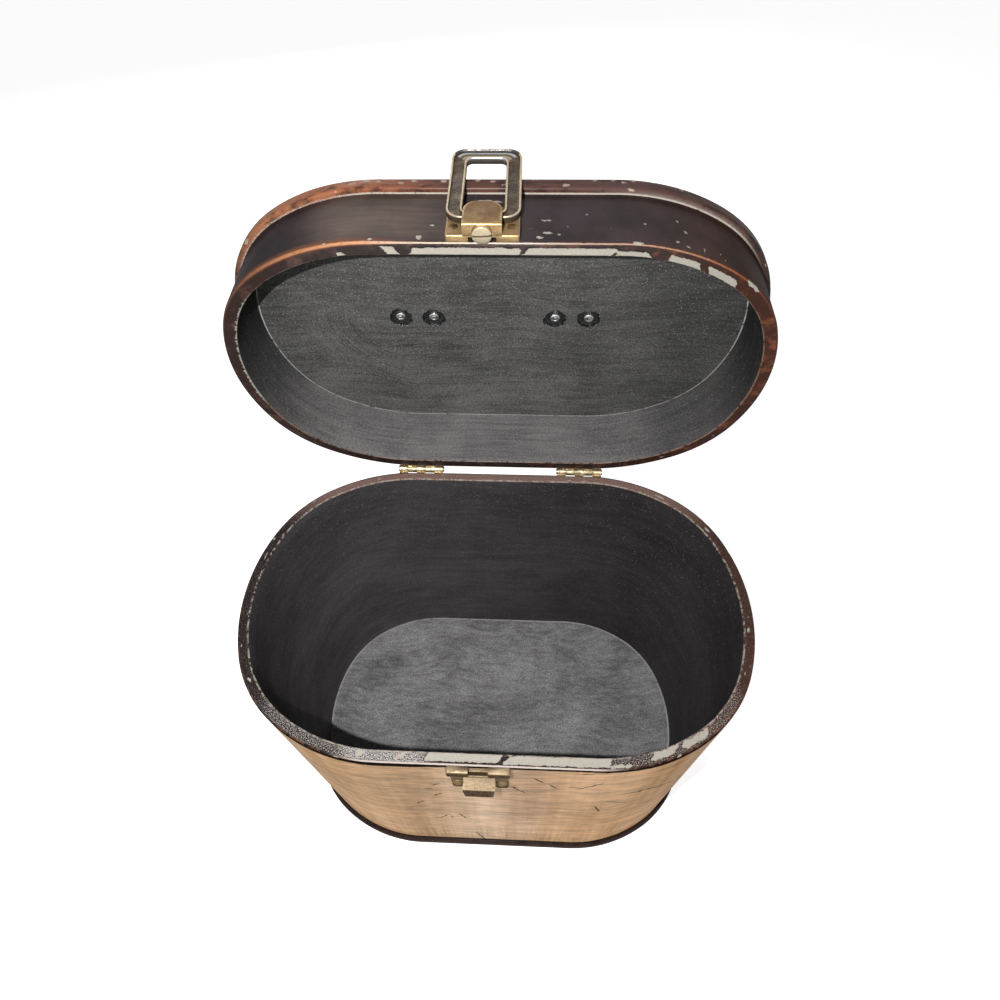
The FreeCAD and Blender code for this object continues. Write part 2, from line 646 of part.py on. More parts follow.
openBottom = "-2 * Derived.ringRadius"
addLoop(openSketch, [(f"-{openHalf}", openBottom), (openHalf, openBottom),
                     (openHalf, openTop, "Sizes.ringInnerRound"),
                     (f"-{openHalf}", openTop, "Sizes.ringInnerRound")])
extrude(latchRing, "Pocket", openSketch, "4 * Sizes.ringThickness")
rodHalf = f"({openHalf} + Sizes.ringClearance)"
addCylinder(latchRing, "Derived.ringRadius", f"2 * {rodHalf}", (f"-{rodHalf}", "0", "0"), alongX)

# Catch on the tub front: pressed ears at the rim, two screwed tabs and the hook the ring passes over
catchFrame = place(size("latchOffset"), -size("halfDepth"), size("tubHeight"))
catchPlate = newBody("catch_plate", catchFrame)
earHalf = "Sizes.catchEarWidth / 2"
catchTop = "-Sizes.closeGap"
addBounds(catchPlate, middle(earHalf), ("-Sizes.plateRise", "0"),
          ("-Sizes.catchBoxHeight - Sizes.sheet", catchTop))
addBounds(catchPlate, middle(f"{earHalf} - Sizes.sheet"), ("Sizes.sheet - Sizes.plateRise", "Sizes.overrun"),
          ("-Sizes.catchBoxHeight", f"{catchTop} - Sizes.sheet"), "SubtractiveBox")
addBounds(catchPlate, middle("Sizes.catchNotch / 2"), ("-Sizes.plateRise - Sizes.overrun", "Sizes.overrun"),
          (f"{catchTop} - Sizes.catchNotchDepth", "Sizes.overrun"), "SubtractiveBox")
tabSketch = newSketch(catchPlate, "tabs", "XZ_Plane")
tabHalf = "Sizes.catchTabsWidth / 2"
hookHalf = "Sizes.hookWidth / 2"
tabRound = "Sizes.catchScrewRadius"
shelfBottom = "-Sizes.hookDrop - Sizes.sheet"
addLoop(tabSketch, [(f"-{tabHalf}", "-Sizes.catchTabsDrop", tabRound),
                    (f"-{hookHalf}", "-Sizes.catchTabsDrop", tabRound),
                    (f"-{hookHalf}", shelfBottom), (hookHalf, shelfBottom),
                    (hookHalf, "-Sizes.catchTabsDrop", tabRound), (tabHalf, "-Sizes.catchTabsDrop", tabRound),
                    (tabHalf, "-Sizes.catchBoxHeight"), (f"-{tabHalf}", "-Sizes.catchBoxHeight")])
extrude(catchPlate, "Pad", tabSketch, "Sizes.sheet")
addBounds(catchPlate, middle(hookHalf), ("-Sizes.hookReach", "-Sizes.sheet / 2"),
          (shelfBottom, "-Sizes.hookDrop"))
lipSketch = newSketch(catchPlate, "lip", "XZ_Plane", ("0", "0", "Sizes.hookReach - Sizes.sheet"))
lipBottom = "-Sizes.hookDrop - Sizes.hookLip"
addLoop(lipSketch, [(f"-{hookHalf}", lipBottom, "Sizes.hookRound"), (hookHalf, lipBottom, "Sizes.hookRound"),
                    (hookHalf, "-Sizes.hookDrop"), (f"-{hookHalf}", "-Sizes.hookDrop")])
extrude(catchPlate, "Pad", lipSketch, "Sizes.sheet")
addBounds(catchPlate, middle(f"{hookHalf} - Sizes.hookRound"),
          ("-Sizes.hookReach + Sizes.sheet / 2", "-Sizes.hookReach + Sizes.hookCurl"),
          (lipBottom, f"{lipBottom} + Sizes.sheet"))

catchScrews = newBody("catch_screws", catchFrame)
catchScrews.AllowCompound = True
for side in sides.values():
    screwX = f"({side}) * ({tabHalf} + {hookHalf}) / 2"
    headAt = (screwX, "-Sizes.sheet", "-Sizes.catchScrewDrop")
    addCylinder(catchScrews, "Sizes.catchShankRadius", "Sizes.sheet + Sizes.catchShankLength",
                headAt, outBack)
    slottedDome(catchScrews, "Sizes.catchScrewRadius", "Sizes.catchScrewDome", headAt, outFront, outFront)
    drill(catchPlate, "Sizes.catchShankRadius", "Sizes.sheet + Sizes.overrun", headAt, outBack)
    drill(tubWall, "Sizes.catchShankRadius", "Sizes.sheet + Sizes.catchShankLength",
          (f"Sizes.latchOffset + {screwX}", "-Derived.halfDepth - Sizes.sheet",
           "Sizes.tubHeight - Sizes.catchScrewDrop"), outBack)

# Carrying handle: two bolted brackets on the lid top and a bail that swings between them
handleFrame = lidFrame * place(size("handleOffset"), size("handleSet"), size("lidTop"))
handleBolts = newBody("handle_bolts", handleFrame)
handleBolts.AllowCompound = True
handleNuts = newBody("handle_nuts", handleFrame)
handleNuts.AllowCompound = True
upright = rotation(0, 0, 1, 0)
crosswise = rotation(0, 0, 1, 90)
for word, side in sides.items():
    bracket = newBody("handle_bracket_" + word, handleFrame * place(side * size("handleSpan") / 2, 0, 0))
    halfLength = "Sizes.bracketLength / 2"
    halfWidth = "Sizes.bracketWidth / 2"
    footSketch = newSketch(bracket, "foot")
    addLoop(footSketch, [(f"-{halfLength}", f"-{halfWidth}", "Sizes.bracketRound"),
                         (halfLength, f"-{halfWidth}", "Sizes.bracketRound"),
                         (halfLength, halfWidth, "Sizes.bracketRound"),
                         (f"-{halfLength}", halfWidth, "Sizes.bracketRound")])
    extrude(bracket, "Pad", footSketch, "Sizes.bracketThickness")
    addBounds(bracket, middle("Sizes.postLength / 2"), middle("Sizes.postWidth / 2"),
              ("0", "Sizes.bailPivotHeight"))
    addCylinder(bracket, "Sizes.postWidth / 2", "Sizes.postLength",
                ("-Sizes.postLength / 2", "0", "Sizes.bailPivotHeight"), alongX)
    drill(bracket, "Sizes.bailPinRadius + Sizes.bailPinClearance", "Sizes.postLength + 2 * Sizes.overrun",
          ("-Sizes.postLength / 2 - Sizes.overrun", "0", "Sizes.bailPivotHeight"), alongX)
    for step in (-1, 1):
        boltX = f"({step}) * Sizes.boltSpacing / 2"
        drill(bracket, "Sizes.boltRadius", "Sizes.bracketThickness + Sizes.overrun",
              (boltX, "0", "0"), upright)
        farX = f"({side}) * Sizes.handleSpan / 2 + {boltX}"
        lidX = f"Sizes.handleOffset + {farX}"
        drill(lidPanel, "Sizes.boltRadius", "Sizes.panelThickness + 2 * Sizes.overrun",
              (lidX, "Sizes.handleSet", "Derived.panelBottom - Sizes.overrun"), upright)
        drill(lidPanel, "Sizes.counterboreRadius", "Sizes.counterboreDepth + Sizes.overrun",
              (lidX, "Sizes.handleSet", "Derived.panelBottom - Sizes.overrun"), upright)
        seat = "Sizes.counterboreDepth - Sizes.panelThickness"
        boltBottom = f"{seat} - Sizes.nutHeight - Sizes.boltEnd"
        addCylinder(handleBolts, "Sizes.boltRadius", f"Sizes.bracketThickness - ({boltBottom})",
                    (farX, "0", boltBottom))
        slottedDome(handleBolts, "Sizes.boltHeadRadius", "Sizes.boltHeadDome",
                    (farX, "0", "Sizes.bracketThickness"), upright, crosswise)
        nutBottom = f"{seat} - Sizes.nutHeight"
        addCylinder(handleNuts, "Sizes.nutRadius", "Sizes.nutHeight", (farX, "0", nutBottom))
        drill(handleNuts, "Sizes.boltRadius", "Sizes.nutHeight + 2 * Sizes.overrun",
              (farX, "0", nutBottom + " - Sizes.overrun"), upright)

handleBail = newBody("handle_bail", handleFrame * place(0, 0, size("bailPivotHeight"),
                                                        rotation(1, 0, 0, size("openAngle"))))
armX = "Derived.bailHalfSpan"
armLength = "Sizes.bailDrop - Sizes.bailCorner"
rod = "Sizes.bailArmRadius"
innerX = f"({armX} - Sizes.bailCorner)"
addCylinder(handleBail, rod, f"2 * {innerX}", (f"-{innerX}", "0", "-Sizes.bailDrop"), alongX)
addCylinder(handleBail, "Sizes.bailGripRadius", "Sizes.bailGripLength",
            ("-Sizes.bailGripLength / 2", "0", "-Sizes.bailDrop"), alongX)
cornerTurns = {-1: rotation(0, 1, 0, 90) * outBack, 1: outBack}
for side in sides.values():
    bend = add(handleBail, "AdditiveTorus", {"Radius1": "Sizes.bailCorner", "Radius2": rod},
               (f"({side}) * {innerX}", "0", f"-({armLength})"), cornerTurns[side])
    bend.Angle3 = 90
    addCylinder(handleBail, rod, armLength, (f"({side}) * {armX}", "0", f"-({armLength})"))
    add(handleBail, "AdditiveSphere", {"Radius": rod}, (f"({side}) * {armX}", "0", "0"))
    pinLength = f"{rod} + Sizes.bailArmGap + Sizes.postLength + Sizes.knuckleGap"
    pinStart = armX + f" - ({pinLength})" if side == 1 else f"-{armX}"
    addCylinder(handleBail, "Sizes.bailPinRadius", pinLength, (pinStart, "0", "0"), alongX)

doc.recompute()
for item in doc.Objects:
    if "Invalid" in item.State or "Error" in item.State:
        raise RuntimeError(f"{item.Name} did not recompute: {item.State}")

bodies = [item for item in doc.Objects if item.TypeId == "PartDesign::Body"]
os.makedirs("parts", exist_ok=True)
for body in bodies:
    shape = body.Shape
    if shape.isNull() or not shape.isValid() or shape.Volume <= 0:
        raise RuntimeError(body.Label + " has no sound shape")
    shape.exportStep(f"parts/{body.Label}.step")
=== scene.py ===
import bmesh
import bpy
import json
import math
from mathutils import Matrix, Vector, noise


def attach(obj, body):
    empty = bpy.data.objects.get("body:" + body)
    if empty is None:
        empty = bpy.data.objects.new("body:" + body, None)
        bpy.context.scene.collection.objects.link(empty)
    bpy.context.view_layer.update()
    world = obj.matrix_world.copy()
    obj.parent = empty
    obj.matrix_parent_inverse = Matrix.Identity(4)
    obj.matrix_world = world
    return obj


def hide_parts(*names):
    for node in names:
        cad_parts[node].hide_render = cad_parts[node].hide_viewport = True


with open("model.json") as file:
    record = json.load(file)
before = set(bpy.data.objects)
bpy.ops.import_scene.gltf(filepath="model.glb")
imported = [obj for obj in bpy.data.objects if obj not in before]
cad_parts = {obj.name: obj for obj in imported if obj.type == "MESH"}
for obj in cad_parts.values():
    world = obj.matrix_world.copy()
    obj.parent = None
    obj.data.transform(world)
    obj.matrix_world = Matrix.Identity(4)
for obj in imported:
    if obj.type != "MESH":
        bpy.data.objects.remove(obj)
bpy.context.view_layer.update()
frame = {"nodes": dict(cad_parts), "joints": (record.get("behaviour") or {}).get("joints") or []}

# Oval storage trunk, standing open. Lengths are in millimetres until a mesh is made.
mm = 0.001
scene = bpy.context.scene

trunk = {
    "width": 250.0,
    "endRadius": 90.0,
    "cornerRadius": 63.0,
    "shoulderRadius": 88.0,
    "endAngle": 22.0,
    "shoulderAngle": 58.0,
    "tubHeight": 189.5,
    "tubWall": 5.2,
    "lidBottom": 0.15,
    "lidWall": 6.0,
    "lidWallTop": 33.45,
    "lidTop": 37.45,
    "openAngle": 84.7,
    "hingeCentre": 45.1,
    "housingHalf": 12.5,
    "housingDepth": 0.7,
    "housingHeight": 16.15,
    "housingSide": 0.03,
    "frontFade": 20.0,
    "samples": 1080,
}


def ovalOutline(info):
    # One turn round the oval from the middle of the front: place and outward normal
    endTurn = math.radians(info["endAngle"])
    shoulderTurn = math.radians(info["shoulderAngle"])
    endX = info["width"] / 2 - info["endRadius"]
    step = info["endRadius"] - info["cornerRadius"]
    corner = Vector((endX + step * math.cos(endTurn), step * math.sin(endTurn)))
    step = info["cornerRadius"] - info["shoulderRadius"]
    shoulder = corner + step * Vector((math.cos(shoulderTurn), math.sin(shoulderTurn)))
    arcs = [
        (shoulder, info["shoulderRadius"], math.pi / 2, shoulderTurn),
        (corner, info["cornerRadius"], shoulderTurn, endTurn),
        (Vector((endX, 0)), info["endRadius"], endTurn, 0),
    ]
    spans = [shoulder.x] + [radius * (start - end) for centre, radius, start, end in arcs]
    quarter = sum(spans)

    def onQuarter(run):
        # Place and normal on the quarter x > 0, y > 0, measured from the middle of the straight side
        if run <= spans[0]:
            return Vector((run, shoulder.y + info["shoulderRadius"])), Vector((0, 1))
        run -= spans[0]
        for (centre, radius, start, end), span in zip(arcs, spans[1:]):
            if run <= span or end == 0:
                turn = start - run / radius
                normal = Vector((math.cos(turn), math.sin(turn)))
                return centre + radius * normal, normal
            run -= span

    def backRun(x):
        # Distance from the middle of the back, which the hinge housings need for their upright sides
        if x <= spans[0]:
            return x
        return spans[0] + info["shoulderRadius"] * math.asin((x - shoulder.x) / info["shoulderRadius"])

    runs = [4 * quarter * index / info["samples"] for index in range(info["samples"])]
    for side in (-1, 1):
        edge = info["hingeCentre"] + side * info["housingHalf"]
        for nudge in (-info["housingSide"], info["housingSide"]):
            runs += [2 * quarter + flip * backRun(edge + nudge) for flip in (-1, 1)]
    points = []
    for run in sorted(runs):
        lap, part = divmod(run, quarter)
        lap = int(lap)
        place, normal = onQuarter(part if lap % 2 == 0 else quarter - part)
        signX = 1 if lap in (0, 1) else -1
        signY = -1 if lap in (0, 3) else 1
        flip = Vector((signX, signY))
        points.append((place * flip, normal * flip))
    return points, shoulder.y + info["shoulderRadius"]


outline, halfDepth = ovalOutline(trunk)
lidHinge = next(joint for joint in frame["joints"] if joint["name"] == "lid_hinge")
pinPlace = Vector(lidHinge["pos_m"])
openTurn = Matrix.Rotation(-math.radians(trunk["openAngle"]), 4, "X")
lidPlacement = Matrix.Translation(pinPlace) @ openTurn @ Matrix.Translation((0, -pinPlace.y, 0))
tubPlacement = Matrix.Identity(4)
print("outline ready:", len(outline), "points, half depth", round(halfDepth, 3))


def newObject(name, data):
    item = bpy.data.objects.new(name, data)
    scene.collection.objects.link(item)
    return item


def newPiece(name, mesh, body, materials, replaces=()):
    piece = newObject(name, mesh)
    for material in materials:
        mesh.materials.append(material)
    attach(piece, body)
    if replaces:
        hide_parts(*replaces)
    return piece


def shadeByAngle(mesh, degrees=35):
    mesh.polygons.foreach_set("use_smooth", [True] * len(mesh.polygons))
    mesh.update()
    work = bmesh.new()
    work.from_mesh(mesh)
    limit = math.radians(degrees)
    for edge in work.edges:
        edge.smooth = len(edge.link_faces) == 2 and edge.calc_face_angle(0) < limit
    work.to_mesh(mesh)
    work.free()


def finishMesh(name, work, placement, notes):
    # Keeps each point's closed-trunk place, in mm, as the attribute that the finishes read
    bmesh.ops.recalc_face_normals(work, faces=work.faces)
    mesh = bpy.data.meshes.new(name)
    work.to_mesh(mesh)
    work.free()
    bench = mesh.attributes.new("bench", "FLOAT_VECTOR", "POINT")
    bench.data.foreach_set("vector", [value for vertex in mesh.vertices for value in vertex.co])
    for note, values in notes.items():
        mesh.attributes.new(note, "FLOAT", "POINT").data.foreach_set("value", values)
    mesh.transform(placement @ Matrix.Scale(mm, 4))
    shadeByAngle(mesh)
    return mesh


def ripple(place, size, seed=0.0):
    # Smooth noise between about -1 and 1 whose lumps are roughly the given size
    return noise.noise(Vector(place) / size + Vector((seed, -seed, 2 * seed)))


def turns(start, end, steps):
    # Evenly spaced angles between two that are given in degrees, both ends included
    return [math.radians(start + (end - start) * step / steps) for step in range(steps + 1)]


def arcPoints(centre, radius, start, end, steps):
    # (growth, height, normal growth, normal height) round an arc, angles in degrees
    points = []
    for turn in turns(start, end, steps):
        normal = (math.cos(turn), math.sin(turn))
        points.append((centre[0] + radius * normal[0], centre[1] + radius * normal[1]) + normal)
    return points


def straightPoints(start, end, normal, pitch):
    # Evenly spaced points strictly between two ends of a straight run
    count = max(1, round(math.dist(start, end) / pitch))
    return [(start[0] + (end[0] - start[0]) * step / count, start[1] + (end[1] - start[1]) * step / count) + normal
            for step in range(1, count)]


def distancesRun(points):
    # How far along a path each of its points lies
    reach = [0.0]
    for point, following in zip(points, points[1:]):
        reach.append(reach[-1] + math.dist(point[:2], following[:2]))
    return reach


def wallProfile(info):
    # Section of a bent wall with its outside, rim and inside: points, the material of each step (1 inside), and
    # the distance of each point from the outer arris
    sign = 1 if info["rim"] > info["far"] else -1
    outer, inner, thick = info["outerRound"], info["innerRound"], info["thickness"]
    rim, far = info["rim"], info["far"]
    outside = [(0, far, 1, 0)] + straightPoints((0, far), (0, rim - sign * outer), (1, 0), info["outsidePitch"])
    outside += [(0, height, 1, 0) for height in info["breaks"]]
    outside.sort(key=lambda point: sign * point[1])
    outerArris = arcPoints((-outer, rim - sign * outer), outer, 0, 90 * sign, 5)
    top = straightPoints((-outer, rim), (-thick + inner, rim), (0, sign), info["rimPitch"])
    innerArris = arcPoints((-thick + inner, rim - sign * inner), inner, 90 * sign, 180 * sign, 4)
    inside = straightPoints((-thick, rim - sign * inner), (-thick, far), (-1, 0), info["insidePitch"])
    inside.append((-thick, far, -1, 0))
    points = outside + outerArris + top + innerArris + inside
    parts = [0] * (len(points) - len(inside) - 1) + [1] * (len(inside) + 1)
    reach = distancesRun(points)
    corner = reach[len(outside) + len(outerArris) // 2]
    return points, parts, [value - corner for value in reach]


# Wear, in mm inside a bare spot: the value for none, and how far outside the surface begins to sink
wear = {"none": -9.0, "soft": 0.5}


def sweepRound(name, profile, placement, wearDepth=0.0, bare=None, shift=None, marks=None):
    # A closed section carried round the oval: bare spots sink in, and shift moves points for housings
    points, parts, reach = profile
    work = bmesh.new()
    rings = []
    notes = {"edge": [], "bare": []}
    for place, normal in outline:
        ring = []
        for (growth, height, outNormal, upNormal), far in zip(points, reach):
            spot = place + normal * growth
            spot = Vector((spot.x, spot.y, height))
            amount = bare(spot, growth, far) if bare else wear["none"]
            if amount > -wear["soft"] and wearDepth:
                sink = wearDepth * min(1.0, amount + wear["soft"])
                spot -= sink * Vector((normal.x * outNormal, normal.y * outNormal, upNormal))
            if shift:
                spot = shift(spot, growth)
            ring.append(work.verts.new(spot))
            notes["edge"].append(far)
            notes["bare"].append(amount)
            if marks:
                for note, value in marks(spot, growth).items():
                    notes.setdefault(note, []).append(value)
        rings.append(ring)
    closeRound(work, rings, parts)
    return finishMesh(name, work, placement, notes)


def closeRound(work, rings, materials):
    # Faces of a section that is carried round to its start, with the material of each of its steps
    for index, ring in enumerate(rings):
        following = rings[(index + 1) % len(rings)]
        for step, material in enumerate(materials):
            beside = (step + 1) % len(ring)
            face = work.faces.new((ring[step], following[step], following[beside], ring[beside]))
            face.material_index = material


def bridge(work, ring, following, material=0):
    # Faces between two closed loops of equal count
    for index in range(len(ring)):
        beside = (index + 1) % len(ring)
        face = work.faces.new((ring[index], ring[beside], following[beside], following[index]))
        face.material_index = material


def board(name, info, placement, holes=()):
    # A flat board on the oval, with rings near its edge so that the finish knows how far in it is
    growth, low, high, edgeRound = info["growth"], info["low"], info["high"], info["edgeRound"]
    steps = [0, 0.3, 0.6, 1.2, 2.5, 5, 9, 15, 24, 36, 48]
    levels = [(growth - edgeRound - step, high, 0) for step in reversed(steps)]
    levels += [(growth, high - edgeRound, 1), (growth, low + edgeRound, 1)]
    levels += [(growth - edgeRound - step, low, 1) for step in steps]
    work = bmesh.new()
    insets = []
    rings = []

    def addVertex(spot, inset):
        insets.append(inset)
        return work.verts.new(spot)

    for offset, height, side in levels:
        spots = [place + normal * offset for place, normal in outline]
        rings.append([addVertex((spot.x, spot.y, height), growth - offset) for spot in spots])
    for (offset, height, side), ring, following in zip(levels, rings, rings[1:]):
        bridge(work, ring, following, side)
    loops = {0: [rings[0]], 1: [rings[-1]]}
    for loopList in holes:
        # Each hole is a stack of loops from the lower face up to the upper one
        stack = [[addVertex(spot, info["holeInset"]) for spot in loop] for loop in loopList]
        for loop, following in zip(stack, stack[1:]):
            bridge(work, loop, following, 2)
        loops[1].append(stack[0])
        loops[0].append(stack[-1])
    for side, outlines in loops.items():
        edges = []
        for loop in outlines:
            for vertex, following in zip(loop, loop[1:] + loop[:1]):
                edges.append(work.edges.get((vertex, following)) or work.edges.new((vertex, following)))
        filled = bmesh.ops.triangle_fill(work, use_beauty=True, edges=edges)
        for face in filled["geom"]:
            if isinstance(face, bmesh.types.BMFace):
                face.material_index = side
    return finishMesh(name, work, placement, {"inset": insets})


class Signal:
    # A socket of a finish that can be used in arithmetic
    def __init__(self, finish, socket):
        self.finish = finish
        self.socket = socket

    def math(self, operation, other=None, swapped=False):
        pair = [other, self] if swapped else [self, other]
        values = {index: value for index, value in enumerate(pair) if value is not None}
        return self.finish.make("ShaderNodeMath", {"operation": operation}, values)

    def __add__(self, other):
        return self.math("ADD", other)

    def __sub__(self, other):
        return self.math("SUBTRACT", other)

    def __rsub__(self, other):
        return self.math("SUBTRACT", other, swapped=True)

    def __mul__(self, other):
        return self.math("MULTIPLY", other)


class Nodes:
    # A shader's nodes, written as expressions
    def __init__(self, tree):
        self.tree = tree

    def connect(self, socket, value):
        if isinstance(value, Signal):
            self.tree.links.new(value.socket, socket)
        elif isinstance(value, tuple):
            # A colour gets its fourth value where the socket has one
            socket.default_value = (value + (1.0,))[:len(socket.default_value)]
        else:
            socket.default_value = value

    def make(self, kind, settings={}, inputs={}, output=0):
        node = self.tree.nodes.new(kind)
        for name, value in settings.items():
            if name == "stops":
                ramp = node.color_ramp
                while len(ramp.elements) < len(value):
                    ramp.elements.new(1)
                for element, (position, colour) in zip(ramp.elements, value):
                    element.position = position
                    element.color = colour + (1.0,)
            else:
                setattr(node, name, value)
        for name, value in inputs.items():
            self.connect(node.inputs[name], value)
        return Signal(self, node.outputs[output])

    def note(self, name, output=2):
        return self.make("ShaderNodeAttribute", {"attribute_name": name}, output=output)

    def bench(self):
        return self.note("bench", output=1)

    def vector(self, operation, first, second):
        return self.make("ShaderNodeVectorMath", {"operation": operation}, {0: first, 1: second})

    def stretch(self, vector, scale, shift=(0, 0, 0)):
        return self.vector("ADD", self.vector("MULTIPLY", vector, scale), shift)

    def axis(self, vector, index):
        return self.make("ShaderNodeSeparateXYZ", {}, {0: vector}, output=index)

    def noise(self, vector, scale, detail=4, roughness=0.55, output=0):
        return self.make("ShaderNodeTexNoise", {}, {"Vector": vector, "Scale": scale, "Detail": detail,
                                                    "Roughness": roughness}, output)

    def streaks(self, vector, lumps, detail=4, roughness=0.55):
        return self.noise(self.stretch(vector, lumps), 1.0, detail, roughness)

    def cells(self, vector, scale):
        return self.make("ShaderNodeTexVoronoi", {}, {"Vector": vector, "Scale": scale})

    def ramp(self, value, low, high, start=0.0, end=1.0):
        return self.make("ShaderNodeMapRange", {"interpolation_type": "SMOOTHSTEP"},
                         {0: value, 1: low, 2: high, 3: start, 4: end})

    def mix(self, factor, first, second):
        return self.make("ShaderNodeMix", {"data_type": "RGBA"}, {0: factor, 6: first, 7: second}, output=2)

    def scale(self, colour, factor):
        return self.make("ShaderNodeVectorMath", {"operation": "SCALE"}, {0: colour, "Scale": factor})

    def tones(self, value, stops):
        return self.make("ShaderNodeValToRGB", {"stops": stops}, {0: value})

    def bump(self, height, strength, distance):
        return self.make("ShaderNodeBump", {}, {"Height": height, "Strength": strength, "Distance": distance})


class Finish(Nodes):
    # A material with one surface, whose sockets are set by name
    def __init__(self, name, **sockets):
        self.material = bpy.data.materials.new(name)
        self.material.use_nodes = True
        super().__init__(self.material.node_tree)
        self.surface = self.tree.nodes["Principled BSDF"]
        self.set(**sockets)

    def set(self, **sockets):
        for name, value in sockets.items():
            self.connect(self.surface.inputs[name.replace("_", " ")], value)


def window(finish, value, low, high, soft):
    # 1 between two limits, fading over a soft width beyond them
    return finish.ramp(value, low - soft, low) * finish.ramp(value, high, high + soft, 1.0, 0.0)


# Camera: the photograph's view, from above the open trunk
view = {
    "sensor": 36.0,
    "nearest": 0.01,
    "focalPixels": 632.68,
    "imagePixels": 1000.0,
    "centreX": 496.04,
    "centreY": 450.73,
    "across": 2.93,
    "forward": -143.15,
    "height": 476.5,
    "tilt": 0.8805,
    "roll": -0.0279,
    "trunkTurn": -0.0608,
}


def placeCamera(info):
    lens = bpy.data.cameras.new("photographView")
    lens.sensor_width = info["sensor"]
    lens.lens = lens.sensor_width * info["focalPixels"] / info["imagePixels"]
    lens.shift_x = 0.5 - info["centreX"] / info["imagePixels"]
    lens.shift_y = info["centreY"] / info["imagePixels"] - 0.5
    lens.clip_start = info["nearest"]
    camera = newObject("photographView", lens)
    turn = Matrix.Rotation(-info["trunkTurn"], 4, "Z")
    tilt = Matrix.Rotation(math.pi / 2 - info["tilt"], 4, "X")
    roll = Matrix.Rotation(info["roll"], 4, "Z")
    spot = Vector((info["across"], info["forward"], info["height"])) * mm
    camera.matrix_world = turn @ Matrix.Translation(spot) @ tilt @ roll
    scene.camera = camera


# Lamps: one small and close to the camera's left, as in the photograph, soft ones low in front and behind
studio = {
    "skyStrength": 0.13,
    "lamps": {
        "nearCamera": {"spot": (-0.0271, -0.1497, 0.490), "size": 0.004, "power": 1.35},
        "behind": {"spot": (-0.35, 1.1, 0.6), "size": 0.35, "power": 4.5},
        "low": {"spot": (0.0, -0.36, 0.02), "size": 0.12, "power": 0.36},
    },
    "aim": (0.0, 0.0, 0.12),
    "floorColour": (0.9, 0.9, 0.9),
    "floorRoughness": 0.9,
    "floorGlow": 0.8,
    "floorSize": 6.0,
}


def seenDirectly(nodes):
    # 1 where the camera, a mirror or a clear piece looks at the backdrop
    camera, glossy, clear = (nodes.make("ShaderNodeLightPath", output=ray) for ray in
                             ("Is Camera Ray", "Is Glossy Ray", "Is Transmission Ray"))
    return camera.math("MAXIMUM", glossy).math("MAXIMUM", clear)


def lightStudio(info):
    world = bpy.data.worlds.new("paleRoom")
    scene.world = world
    world.use_nodes = True
    sky = Nodes(world.node_tree)
    background = sky.tree.nodes["Background"]
    background.inputs["Color"].default_value = (1, 1, 1, 1)
    strength = seenDirectly(sky) * (1 - info["skyStrength"]) + info["skyStrength"]
    sky.connect(background.inputs["Strength"], strength)
    for name, lamp in info["lamps"].items():
        light = bpy.data.lights.new(name, "AREA")
        light.shape = "DISK"
        light.size = lamp["size"]
        light.energy = lamp["power"]
        holder = newObject(name, light)
        holder.location = lamp["spot"]
        away = Vector(info["aim"]) - holder.location
        holder.rotation_euler = away.to_track_quat("-Z", "Y").to_euler()


def layFloor(info):
    finish = Finish("paleFloor", Base_Color=info["floorColour"], Roughness=info["floorRoughness"])
    surface = Signal(finish, finish.surface.outputs[0])
    glow = finish.make("ShaderNodeEmission", {}, {"Strength": seenDirectly(finish) * info["floorGlow"]})
    both = finish.make("ShaderNodeAddShader", {}, {0: surface, 1: glow})
    finish.connect(finish.tree.nodes["Material Output"].inputs["Surface"], both)
    half = info["floorSize"] / 2
    mesh = bpy.data.meshes.new("paleFloor")
    mesh.from_pydata([(-half, -half, 0), (half, -half, 0), (half, half, 0), (-half, half, 0)], [], [(0, 1, 2, 3)])
    mesh.materials.append(finish.material)
    newObject("paleFloor", mesh)


scene.view_settings.view_transform = "Standard"
placeCamera(view)
lightStudio(studio)
layFloor(studio)
print("camera, lamps and floor ready")


# Paint and lining finishes. Places and widths are in mm, read from the attributes above. A texture is given as
# lumps to the mm, detail and roughness, a streak as lumps to the mm along X, Y and Z, detail and roughness, and
# a change as where it starts and ends, sometimes with the values there.
gesso = {
    "colour": (0.485, 0.47, 0.39),
    "shade": (0.34, 0.305, 0.27),
    "shading": (0.8, 5),
    "ragged": 0.9,
    "edges": (1.1, 6, 0.7),
    "soft": (-0.05, 0.12),
    "stain": (0.055, 0.036, 0.030),
    "stains": (1.7, 4, 0.8),
    "stained": (0.62, 0.70),
    "stainReach": (1.6, 0.2),
}
speck = {"core": 0.55, "grouping": 0.37, "soft": 0.04}


def barePaint(finish, bench, bare):
    # Where the paint has chipped away, with ragged edges, and the colour of the ground beneath
    ragged = (finish.noise(bench, *gesso["edges"]) - 0.5) * (2 * gesso["ragged"])
    mask = finish.ramp(bare + ragged, *gesso["soft"])
    colour = finish.mix(finish.noise(bench, *gesso["shading"]), gesso["shade"], gesso["colour"])
    stains = finish.ramp(finish.noise(bench, *gesso["stains"]), *gesso["stained"])
    return mask, finish.mix(stains * finish.ramp(bare, *gesso["stainReach"]), colour, gesso["stain"])


def specks(finish, bench, scale, size, share):
    # Scattered pale dots: a share of the cells holds one
    near = finish.cells(bench, scale)
    chosen = finish.noise(bench, scale * speck["grouping"], 1)
    return finish.ramp(near, size, size * speck["core"]) * finish.ramp(chosen, 1 - share, 1 - share + speck["soft"])


def glossy(name, gloss):
    # A finish with a clear coat as rough as the paint, whose strength is set later
    return Finish(name, Roughness=gloss, Metallic=0.0, Specular_IOR_Level=0.0, Coat_Roughness=gloss)


def shareAcross(x):
    # From 0 at the trunk's left end to 1 at its right end
    return x * (1 / trunk["width"]) + 0.5


def frontHalf(finish, y):
    return finish.ramp(y, trunk["frontFade"], -trunk["frontFade"])


